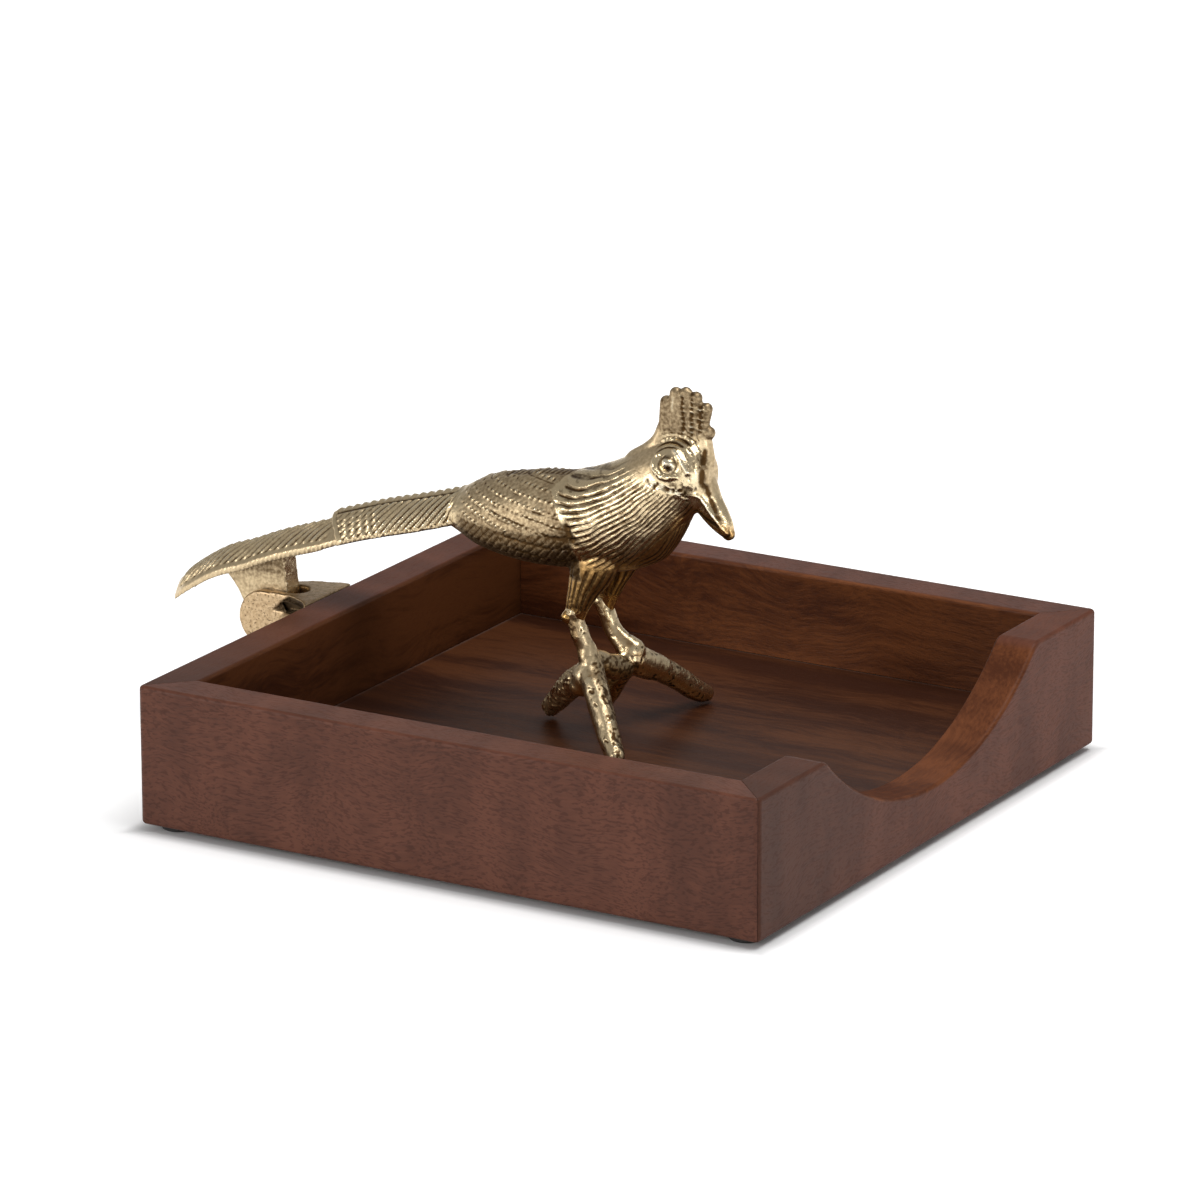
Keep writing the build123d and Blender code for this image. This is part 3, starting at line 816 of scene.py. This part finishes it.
cheek = np.interp(z, (80, 88.5, 91.5, 93.0, 94.5, 96.4, 98.1, 101), (-40, -26, -22, -16, -12, -8, -5, -1))
on_torso = rise(z, 67.0, 70.0)
line_starts = np.random.default_rng(3).random(64)[np.floor(breast_count + 0.5).astype(int) % 64]
start = shoulder + 1.0 - 3.5 * line_starts
on_breast = fall(y, start - 1.2, start + 0.2) * rise(y, cheek - 4, cheek + 2) * on_torso
on_belly = on_breast * rise(breast_count, 18.4, 19.4)
on_front = on_breast * rise(breast_count, 15.5, 18.5)
on_breast = on_breast - on_belly
on_wing = rise(y, shoulder, shoulder + 0.9) * fall(y, 46, 54) * rise(z, 63.0, 65.0)
shares = [round(float(patch.mean()), 3) for patch in (on_breast, on_wing)]
print("share of skin on the breast and on the wings", shares)

# %% Breast grooves
faint = 1 - 0.5 * rise(z, 92, 98)
along = (0.75 * y - 0.65 * z) / 2.5
streaky = drift(np.stack([3 * breast_count, 2 * along, 9 * np.sign(x)], 1), 1.0)
carving.cut(on_breast * faint * groove(breast_count, 0.18) * (0.4 + patchy), 0.36, 0.85)
carving.cut(on_breast * fall(streaky, 0.2, 0.5), 0.0, 0.48)
carving.comb(on_breast * faint, breast_count)
ridges = on_breast * fall(z, 90, 94) * (1 - groove(breast_count, 0.3))
# painted highlight: streaks of glint along the breast ridges
carving.rub_and_glint(ridges * 0.85 * rise(streaky, 0.4, 0.8))
carving.cut(on_belly * groove(x / 1.35 + 0.4 * wander, 0.2), 0.25, 0.9)
# painted reflection: a dark film on the lower front of the breast, which faces the dark tray
carving.cut(on_front, 0.0, 0.36)
on_neck = (1 - on_breast) * rise(y, -15, -12.5) * fall(y, 14, 20) * rise(z, 88, 92)
carving.dull(0.85 * on_neck)
print("deepest breast groove", round(float(carving.lift.min()), 2), "mm")

# %% Wing tiers and dashes
carving.lift += 0.3 * rise(y, shoulder, shoulder + 8) * on_wing * rise(wing_count, -0.1, 0.2)
slant = y + 0.95 * z
brick_top = np.interp(y, (15, 45), (2.1, 1.1))
lower_wing = on_wing * fall(wing_count, brick_top, brick_top + 0.2) * rise(wing_count, -0.2, 0.1)
upper_wing = on_wing * rise(wing_count, brick_top, brick_top + 0.2)
carving.dull(0.8 * on_wing)
carving.cut(on_wing * (0.5 + 0.14 * fall(z, 74, 83)), 0.0, 1.0)
bricks = fall(y, 31, 35)
carving.cut(lower_wing, 0.0, 0.74)
tier = 1.5 * wing_count
carving.cut(lower_wing * bricks * groove(tier, 0.13) * (0.5 + 0.8 * patchy), 0.2, 1.0)
stroke = slant / 2.8 + np.where(y < 33, 0.5 * np.floor(tier), 0) + 0.2 * wander
carving.cut(lower_wing * groove(stroke, 0.15), 0.2, 1.0)
carving.comb(lower_wing, stroke)
# painted highlight: scattered glints on the bricks
carving.rub_and_glint(lower_wing * bricks * rise(drift(carving.points, 1.3), 0.68, 0.85))
row = (wing_count - 0.042 * (y - 30) - 2.5) / 0.8
dash = slant / 2.0 + 0.37 * np.floor(row + 0.5) + 0.3 * wander
on_row = upper_wing * groove(row, 0.2)
dashes = on_row * rise(-wave(dash), -0.1, 0.6) * rise(patchy, 0.2, 0.5)
carving.lift += 0.3 * dashes
# painted highlight: each dash gets a glint
carving.rub_and_glint(dashes)
carving.cut(on_row * rise(wave(dash), 0.2, 0.9), 0.1, 0.9)
carving.cut(upper_wing * groove(row + 0.3, 0.1) * rise(patchy, 0.4, 0.7), 0.1, 0.8)
for at, end in ((2.2, 38), (2.85, 30), (3.45, 25)):
    crease = mound((wing_count - 0.042 * (y - 20) - at) / 0.08, 1) * fall(y, end - 3, end + 3)
    carving.cut(on_wing * crease * (0.5 + patchy), 0.12, 0.95)
carving.cut(mound(from_line(((11.6, 80.4), (9.4, 76.2)), y, z), 1.2) * (0.5 + 0.7 * patchy), 0.6, 1.0)
along_back = rise(y, 14, 17) * fall(y, 36, 42) * rise(z, 84, 88)
back_strip = along_back * rise(x, -4.0, -2.6) * fall(x, 2.6, 4.0)
carving.cut(back_strip * (0.75 + 0.25 * wave(slant / 1.5)), 0.3, 0.85)
print("mean dark film so far", round(float(carving.dark.mean()), 3))

# %% [markdown]
# The head carries finer work: a rim round each eye with brow lines over it, a rope under the cheek, streaks
# up the face, and a keel along each side of the beak with a dark line beside it. The crest has beaded valleys
# between its fingers, the thighs are fluted, and the coverts are one large feather: barbs that slant back
# from a rib along the middle to a rippled hem.

# %% Eyes and cheeks
eye_y, eye_z = -18.3, 101.3
eye_reach = np.hypot((y - eye_y) / 3.8, (z - eye_z) / 3.0)
on_side = rise(-y, 8, 12) * rise(z, 86, 90) * rise(beside, 1.0, 2.0)
specks = rise(drift(carving.points, 0.8), 0.5, 0.7)
below_eye = rise(0.7 * (y - eye_y) - (z - eye_z), -0.6, 1.4)
lower_lid = mound(eye_reach - 1.15, 0.28) * below_eye * (0.6 + 0.4 * specks)
upper_lid = mound(from_line(((-19.6, 105.2), (-22.0, 103.4), (-24.6, 99.9)), y, z), 0.9)
carving.lift += on_side * (1.0 * lower_lid + 0.7 * upper_lid)
# painted highlight on the lids
carving.rub_and_glint(on_side * (lower_lid + upper_lid))
on_ball = on_side * fall(eye_reach, 0.6, 0.75)
carving.cut(on_side * mound(eye_reach - 0.78, 0.13) * (0.5 + 0.5 * patchy), 0.35, 0.85)
carving.cut(on_ball * mound(np.hypot(y + 19.2, z - 101.0), 1.1), 0.1, 1.0)
carving.cut(on_ball, 0.0, 0.22)
carving.lift += on_ball * 0.35 * mound(np.hypot(y + 18.4, z - 102.3), 0.6)
# painted highlight on the eyeball
carving.rub_and_glint(on_ball)
over_eye = on_side * rise(z + 0.45 * (y - eye_y), 104.2, 105.2) * fall(y, -14.5, -12.0)
brow_lines = groove(eye_reach * 2.7, 0.24) * rise(eye_reach, 1.3, 1.45) * fall(eye_reach, 2.9, 3.1)
carving.cut(over_eye * brow_lines, 0.35, 1.0)
cheek_rope = from_line(((-13.5, 95.6), (-17.2, 95.2), (-22.0, 93.9), (-24.5, 92.4)), y, z)
carving.cut(on_side * mound(cheek_rope, 0.5) * (0.1 + 0.7 * patchy), 0.3, 0.6)
carving.cut(on_side * mound(cheek_rope, 2.2) * specks, 0.2, 1.0)
# painted highlight between the specks of the cheek rope
carving.rub_and_glint(on_side * mound(cheek_rope, 2.6) * (1 - specks))
print("eyes carved at y", eye_y, "z", eye_z)

# %% Face and beak
on_face = rise(-y, 22.0, 23.5) * rise(z, 93.5, 95) * fall(z, 106, 108) * rise(y, -28.2, -27.4)
face_streaks = groove((beside + 0.45 * y) / 1.5 + 0.5 * wander, 0.18)
carving.cut(on_face * face_streaks * (0.2 + 0.8 * specks), 0.25, 0.7)
# painted highlight over the face
carving.rub_and_glint(on_face * (0.72 + 0.2 * patchy))
carving.dull(0.8 * rise(-y, 27.4, 28.2) * rise(z, 92, 95))
on_beak = rise(-y, 23.5, 25.5) * fall(z, 96, 98)
keel = from_line(((-26.4, 92.9), (-29.3, 88.9), (-32.2, 84.9), (-34.2, 82.3)), y, z)
carving.lift += on_beak * 0.7 * mound(keel, 0.65)
# painted highlight along the keel
carving.rub_and_glint(on_beak * mound(keel, 1.1))
dark_line = ((-27.3, 105.4), (-27.9, 100.6), (-27.9, 96.2), (-30.0, 91.0), (-33.1, 84.4), (-34.3, 82.4))
beak_line = from_line(dark_line, y, z)
uneven = 0.7 + 0.9 * rise(drift(carving.points, 1.2), 0.3, 0.6) - 0.4 * specks
broken = np.clip(uneven, 0, 1) * (0.3 + 0.7 * rise(z, 84.5, 87))
carving.cut(rise(-y, 23.5, 25.5) * mound(beak_line, 0.8) * rise(beside, 0.2, 0.6) * broken, 0.2, 1.0)
print("highest ridge on the face", round(float((on_face * carving.lift).max()), 2), "mm")

# %% Crest valleys
on_crest = rise(z, 107.5, 110.0)
carving.dull(0.85 * on_crest)
carving.cut(on_crest, 0.0, 0.48)
valley_tops = ((-19.7, 119.8), (-22.8, 119.3), (-25.6, 117.2))
valley_feet = ((-20.3, 108.0), (-22.8, 108.6), (-25.4, 111.4))
# painted highlight: a pale streak down the second finger
carving.rub_and_glint(on_crest * mound(from_line(((-16.9, 119.4), (-16.6, 115.8)), y, z), 0.6))
# painted shade: two dark spots at the finger tips
for place, width in (((-13.3, 117.9), 0.9), ((-22.9, 120.9), 1.1)):
    carving.cut(on_crest * mound(np.hypot(y - place[0], z - place[1]), width), 0.0, 0.85)
for top, foot, width in zip(valley_tops, valley_feet, (0.75, 0.75, 1.5)):
    valley = mound(from_line((top, foot), y, z), width)
    beads = rise(drift(carving.points + top[0], 1.0) + 0.25 * wave(z / 1.5 + top[0]), 0.25, 0.5)
    carving.cut(on_crest * valley * (0.25 + 0.75 * beads), 0.5, 1.0)
    # painted highlight beside each beaded valley
    carving.rub_and_glint(on_crest * mound(from_line((top, foot), y, z), width + 0.6) * (1 - beads))
print("crest valleys", len(valley_tops))

# %% Thigh flutes and painted reflections of the tray
on_thigh = fall(z, 66.0, 69.0) * rise(z, 54.0, 55.5) * fall(y, 17, 20)
middle_y = np.interp(z, (52, 60, 68), (11.2, 9.0, 6.0))
middle_x = np.interp(z, (52, 60, 68), (9.0, 8.2, 6.6))
round_thigh = np.arctan2(beside - middle_x, (y - middle_y) * 0.62) / (2 * np.pi)
flutes = 15
flute = round_thigh * flutes + 0.3 * wander
# painted reflection: the lower body and the lower front of the breast are tinted amber for the wood below
carving.wood_reflection = 0.9 * fall(z, 66, 80) * (1 - 0.7 * on_wing) * fall(y, 36, 46)
carving.wood_reflection = np.maximum(carving.wood_reflection, 0.85 * on_front)
carving.cut(on_thigh * groove(flute, 0.2), 0.22, 0.95)
carving.comb(on_thigh, flute)
# painted reflection: a dark film over the thighs and lower belly stands in for the dark tray they face
carving.cut(fall(z, 69.0, 73.0) * rise(z, 54.0, 55.5) * fall(y, 13, 15), 0.0, 0.36)
print("flutes round a thigh", flutes)

# %% Covert barbs
def faces_out(normals):
    """1 where the skin faces up or sideways, 0 where it faces down."""
    return rise(normals[:, 2] + 0.8 * np.abs(normals[:, 0]), 0.15, 0.4)


on_coverts = rise(y, 50.0, 55.0)
to_end = covert_end - covert_tongue * (x / 10) ** 2 - y
drop = eased(roof_y, roof_ridge, np.clip(y, covert_start, covert_end)) - z
outside = faces_out(carving.normals) * rise(drop, 12, 10)
band = fall(to_end, 1.6, 2.2)
feather = (y - 0.7 * (beside + 0.5 * drop)) / 2.6 + 0.3 * wander
barb = wave(feather)
pearl = fall(to_end, 10, 18)
strand = barb * (1 - pearl * (0.5 - 0.5 * wave((beside + 0.5 * drop) / 2.2)))
on_barbs = on_coverts * outside * (1 - band) * rise(beside, 2.4, 3.0) * fall(drop, 8.0, 8.6)
carving.lift += on_barbs * 0.38 * strand
carving.cut(on_barbs, 0.0, 0.03)
carving.cut(on_barbs * rise(-strand, 0.2, 0.9) * (0.5 + patchy), 0.0, 0.85)
carving.comb(on_barbs * 0.8, feather + 0.5)
carving.dull(0.25 * on_coverts)
# painted highlight on the crests of the covert barbs
carving.rub_and_glint(on_barbs * rise(strand, 0.3, 0.8) * (0.8 + 0.5 * patchy))
# painted shade: covert skin that faces down gets a dark film
carving.cut(on_coverts * rise(-carving.normals[:, 2], 0.15, 0.6), 0.0, 0.6)
print("covert barbs on", round(float(on_barbs.mean()), 3), "of the skin")

# %% Covert rib and edges
rib = on_coverts * rise(carving.normals[:, 2], 0.1, 0.3) * mound(x, 1.5)
carving.lift += rib * (0.30 + 0.30 * wave(y / 2.8))
carving.cut(on_coverts * outside * mound(beside - 2.4, 0.5) * (1 - band) * rise(drop, 4, 2), 0.45, 0.9)
hem = on_coverts * outside * rise(drop, 8.2, 8.8) * (1 - band)
carving.lift += hem * 0.28 * wave(y / 1.6 + 0.3 * wander)
carving.cut(on_coverts * outside * mound(to_end - 1.9, 0.35), 0.15, 0.5)
uneven = 0.04 * carving.normals * wander[:, None]
finish_casting(body, carving.moved() + uneven, carving.marks(), "bird_body")

# %% [markdown]
# ## Tail casting
# Behind the coverts the tail goes on as a thinner roof with a blunt round tip. Under it hangs the lug, a
# plain plate that turns on the pin between the bracket's ears, so it stays flat and shows casting marks, with
# painted shade towards its top, under the tail.

# %% Tail roof and lug
tail_y = np.array((84.0, 97.3, 106.4, 115.6, 124.7, 132.8, 140.3, 146.3, 150.2))
tail_ridge = np.array((71.0, 66.6, 63.6, 60.3, 56.4, 53.4, 49.1, 44.8, 41.2))
tail_half = np.array((8.6, 9.8, 9.9, 10.0, 10.0, 9.8, 9.3, 8.2, 5.4))
tail_left = np.array((0.8, 1.0, 1.0, 1.0, 1.0, 0.99, 0.97, 0.93, 0.80))
tail_crown, tail_edge, tail_thickness = 5.7, 2.0, 5.6
rings = []
for place in np.linspace(tail_y[0], tail_y[-1], 80):
    left = eased(tail_y, tail_left, place)
    sizes = (tail_crown * left, tail_edge * left, tail_thickness * left)
    ring = roof_ring(place, eased(tail_y, tail_ridge, place), eased(tail_y, tail_half, place), *sizes)
    ring[:, 2] += 0.15 * np.maximum(ring[:, 0], 0) * rise(place, 137, 146)
    rings.append(ring)
rings.append(np.array((0, 150.8, 38.9)) + (rings[-1] - rings[-1].mean(0)) * 0.6)
tail_roof = skin(rings)
pin_y, pin_z = 118.5, 34.4
eye_turn = np.linspace(np.pi, 2 * np.pi, 24)
lug_outline = [(pin_y + 7.4 * np.cos(a), pin_z + 7.4 * np.sin(a)) for a in eye_turn]
lug_outline += [(126.6, 36.0), (127.6, 38.0), (129.2, 41.0), (131.2, 43.6)]
lug_outline += [(133.0, 45.5), (133.0, 50.5), (113.8, 58.0)]
lug = skin([[(side * 3.4, a, b) for a, b in lug_outline] for side in (-1, 1)])
tail = melted("tail_casting", [tail_roof, lug], 0.36, 4)
print("tail points", len(tail.data.vertices))

# %% Tail barbs
carving = Carving(tail)
x, y, z = carving.points.T
beside = np.abs(x)
wander = drift(carving.points, 5.0) - 0.5
patchy = drift(carving.points, 3.0)
along_tail = np.clip(y, tail_y[0], tail_y[-1])
drop = eased(tail_y, tail_ridge, along_tail) - z
depth = 0.76 * tail_crown * eased(tail_y, tail_left, along_tail)
outside = faces_out(carving.normals) * rise(drop, 10, 8)
feather = (y - 0.7 * (beside + 0.5 * drop)) / 2.9 + 0.3 * wander
barb = wave(feather)
on_barbs = outside * fall(drop, depth - 0.3, depth + 0.3)
on_barbs = on_barbs * fall(y, 147.0, 149.0) * rise(y, 94.0, 97.0)
carving.lift += on_barbs * 0.36 * barb
carving.cut(on_barbs, 0.0, 0.3)
carving.cut(on_barbs * rise(-barb, 0.2, 0.9) * (0.5 + patchy), 0.0, 0.6)
carving.comb(on_barbs * 0.8, feather + 0.5)
carving.dull(0.5 * outside)
# painted highlight on the crests of the tail barbs
carving.rub_and_glint(on_barbs * rise(barb, 0.3, 0.8) * (0.5 + 0.75 * patchy))
# painted shade: tail skin that faces down gets a dark film
carving.cut(rise(-carving.normals[:, 2], 0.15, 0.6), 0.0, 0.6)
hem = outside * rise(drop, depth + 1.6, depth + 2.2)
carving.lift += hem * 0.15 * wave(y / 1.6 + 0.3 * wander)
print("tail barbs on", round(float(on_barbs.mean()), 3), "of the skin")

# %% Casting marks and painted shade on the lug
free = rise(z, 46.0, 49.0)
on_lug = rise(np.abs(carving.normals[:, 0]), 0.8, 0.95) * rise(drop, 6.0, 8.0)
smear = rise(drift(carving.points * np.array((1.0, 0.16, 1.0)), 1.1), 0.35, 0.75)
# painted shade: the lug darkens towards its top, under the tail; the smear adds streaks of casting marks
carving.cut(on_lug * (0.2 + 0.3 * rise(z, 43, 51) + 0.12 * smear), 0.0, 1.0)
carving.dull(0.7 * on_lug)
uneven = 0.1 * (carving.normals * (wander * free)[:, None])
finish_casting(tail, carving.moved() + uneven, carving.marks(), "tail")

# %% [markdown]
# ## Bracket
# The bracket is cast in sand and stays rough. Its top is a flat plate with a slot for the lug, and two round
# ears hold the pin. Under the plate a rib spreads from each ear to the flange, so that a hollow lies between,
# darkened with painted shade. A plate is an outline pulled straight along one axis, and the melting rounds
# all the corners.

# %% Plates pulled along an axis
def pulled(outline, axis, start, end):
    """A plate between two places on an axis; the outline gives the other two numbers."""
    return skin([[np.insert(corner, axis, place) for corner in outline] for place in (start, end)])


slot_half, slot_front = 3.85, 106.9
slot_turn = np.linspace(1.5, -1.5, 15)
slot_end = [(slot_half * np.sin(a), slot_front + slot_half - slot_half * np.cos(a)) for a in slot_turn]
plate_outline = [(-12.4, 100.3), (-9.4, 103.6), (-7.4, 107.4), (-6.5, 110.4), (-6.5, 116.0)]
plate_outline += [(-slot_half, 116.0)] + slot_end[::-1] + [(slot_half, 116.0)]
plate_outline += [(6.6, 116.0), (8.2, 113.4), (9.9, 111.6), (11.2, 107.0), (12.6, 103.0), (12.8, 100.3)]
top_plate = pulled(plate_outline, 2, 40.6, 43.0)
ear_turn = np.linspace(0, 2 * np.pi, 48, endpoint=False)
ear_outline = [(pin_y + 8.5 * np.cos(a), pin_z + 8.5 * np.sin(a)) for a in ear_turn]
ears = [pulled(ear_outline, 0, *ends) for ends in ((-6.6, -slot_half), (slot_half, 6.6))]
flange_outline = [(-28.0, 23.5), (-24.0, 19.5), (24.0, 19.5), (28.0, 23.5)]
flange_outline += [(28.0, 35.5), (24.0, 39.5), (-24.0, 39.5), (-28.0, 35.5)]
flange = pulled(flange_outline, 1, 100.05, 102.8)
print("plate, flange and", len(ears), "ears")

# %% Ribs and webs
ribs = []
for side in (-1, 1):
    places = [(side * 5.2, 114.5, 34.4), (side * 6.4, 109.5, 34.6)]
    places += [(side * 8.6, 104.5, 34.2), (side * 10.0, 101.5, 33.6)]
    ribs.append(bar(places, [2.6, 3.0, 3.6, 4.2], 0.5))
web_outline = [(100.5, 28.0), (115.0, 28.0), (115.0, 41.0), (100.5, 41.0)]
webs = [pulled(web_outline, 0, *ends) for ends in ((-5.5, -slot_half), (slot_half, 5.5))]
front_outline = [(-slot_half, 100.5), (slot_half, 100.5), (slot_half, 106.5), (-slot_half, 106.5)]
front_web = pulled(front_outline, 2, 28.0, 41.0)
print("ribs and webs", len(ribs) + len(webs) + 1)

# %% Roughen the bracket
bracket = melted("bracket_casting", [top_plate, *ears, flange, *ribs, *webs, front_web], 0.35, 4)
carving = Carving(bracket)
x, y, z = carving.points.T
inside_slot = (np.abs(x) < slot_half + 0.3) & (y > slot_front)
lumps = np.where(inside_slot | (y < 100.6), 0.0, drift(carving.points, 1.6) - 0.5)
carving.lift += 0.16 * lumps
pin_end = mound(np.hypot(y - pin_y, z - pin_z) / 2.1, 1) > 0.4
carving.lift -= 0.9 * (pin_end & (x > 6.0))
before_ear = rise(110.2 + 1.12 * (42.2 - z) - y, -0.3, 0.4) * rise(z, 37.4, 38.4)
before_ear = before_ear * rise(-carving.normals[:, 2], -0.75, -0.5)
# the hollow under the plate: pressed in, and marked for painted shade in the finish
hollow_shade = before_ear * rise(np.abs(x), 4.6, 5.2) * rise(y, 101.0, 103.0)
carving.lift -= 1.1 * hollow_shade * rise(np.abs(carving.normals[:, 0]), 0.4, 0.8)
finish_casting(bracket, carving.moved(), {"hollow_shade": hollow_shade}, "hinge_bracket", "tray")

# %% [markdown]
# ## Feet
# Each bare leg comes down from the ankle to a thick palm and spreads into two blunt toes that press on the
# napkins. A rough bridge of metal joins the palms. They are smooth bars, a little dented like hand-worked
# wax. Each place on a bar is written as x, y, z and the radius there.

# %% Cast a foot
def cast_foot(name, node, bars, matte):
    """A foot from its bars; matte sets how dull and dented it is, most at the back toe, and its painted side
    shade.
    """
    forms = [bar([place[:3] for place in line], [place[3] for place in line], 0.92) for line in bars]
    foot = melted(name, forms, 0.34, 7)
    carving = Carving(foot)
    y = carving.points[:, 1]
    back_toe = matte * rise(y, 8, 13)
    dents = drift(carving.points, 2.6) - 0.5
    nicks = rise(drift(carving.points, 0.9), 0.62, 0.8)
    carving.lift += (0.2 + 0.7 * matte) * dents
    worn = rise(drift(carving.points, 3.7), 0.35, 0.65)
    carving.dull(matte * (1 + 0.9 * rise(y, 8, 14)))
    # a little painted highlight on the raised dents
    carving.rub_and_glint(0.84 * rise(dents, 0.1, 0.3))
    # painted reflection: down-facing skin of the foot is tinted amber for the wood below
    carving.wood_reflection = 0.9 * rise(-carving.normals[:, 2], -0.35, 0.3) * (1 - back_toe)
    carving.cut(nicks * (0.35 + 0.65 * worn) * (1 - 1.6 * back_toe), 0.15, 0.75)
    specks = rise(drift(carving.points, 0.8), 0.5, 0.65)
    # painted shade: the side facing along (0.5, -0.86) gets a dark film on the front of the foot
    to_right = carving.normals @ np.array((0.5, -0.86, 0.0))
    turned = rise(to_right, -0.15, 0.2) * fall(y, 2, 5)
    carving.cut(turned * matte * (0.7 + 0.9 * specks), 0.1, 1.0)
    carving.lift += 0.7 * back_toe * specks
    finish_casting(foot, carving.moved(), carving.marks(), node)


print("feet can be cast")

# %% Left foot and bridge
left_leg = [(-9, 11.3, 53.5, 2.6), (-9, 9.6, 48.6, 2.5), (-9, 7.6, 44.4, 2.7)]
left_leg += [(-9.2, 6.1, 40.5, 3.3), (-9.6, 5.2, 36.6, 4.0)]
left_palm = [(-9.6, 5.6, 37.0, 4.2), (-10.2, 6.8, 34.8, 4.2), (-10.4, 8.0, 33.0, 3.6)]
left_back_toe = [(-9.3, 7.0, 35.6, 4.2), (-6.6, 12.6, 32.0, 3.9), (-2.2, 19.6, 26.0, 3.2)]
left_back_toe += [(2.4, 25.4, 20.8, 2.7), (4.2, 27.2, 19.3, 2.6)]
left_front_toe = [(-10.0, 4.8, 36.4, 4.2), (-14.0, 1.0, 33.0, 4.0), (-18.5, -3.9, 27.4, 3.8)]
left_front_toe += [(-23.2, -9.0, 21.9, 3.4), (-26.6, -12.6, 19.3, 2.9)]
bridge = [(-8.6, 6.2, 41.0, 2.6), (-4.5, 5.4, 38.8, 3.2), (0.0, 4.4, 36.4, 3.6), (5.0, 3.4, 34.6, 3.6)]
left_bars = (left_leg, left_palm, left_back_toe, left_front_toe, bridge)
cast_foot("left_foot_casting", "left_foot", left_bars, 0.5)

# %% Right foot
right_leg = [(9, 13.0, 52.5, 2.6), (9, 11.1, 49.0, 2.6), (9, 9.0, 44.2, 2.7)]
right_leg += [(9.1, 6.2, 41.0, 3.3), (9.3, 3.0, 38.4, 4.2)]
right_back_toe = [(9.2, 4.0, 36.0, 3.8), (11.0, 8.6, 29.4, 3.2)]
right_back_toe += [(12.8, 13.0, 22.6, 2.8), (14.0, 16.2, 19.1, 2.6)]
right_front_toe = [(9.4, 3.0, 36.4, 4.6), (14.0, 1.8, 33.8, 4.5), (20.0, 0.1, 30.8, 3.9)]
right_front_toe += [(27.0, -1.7, 26.4, 3.6), (33.0, -3.2, 22.0, 3.4)]
right_front_toe += [(37.0, -4.2, 19.6, 3.0), (38.6, -4.7, 19.0, 2.6)]
cast_foot("right_foot_casting", "right_foot", (right_leg, right_back_toe, right_front_toe), 0.1)
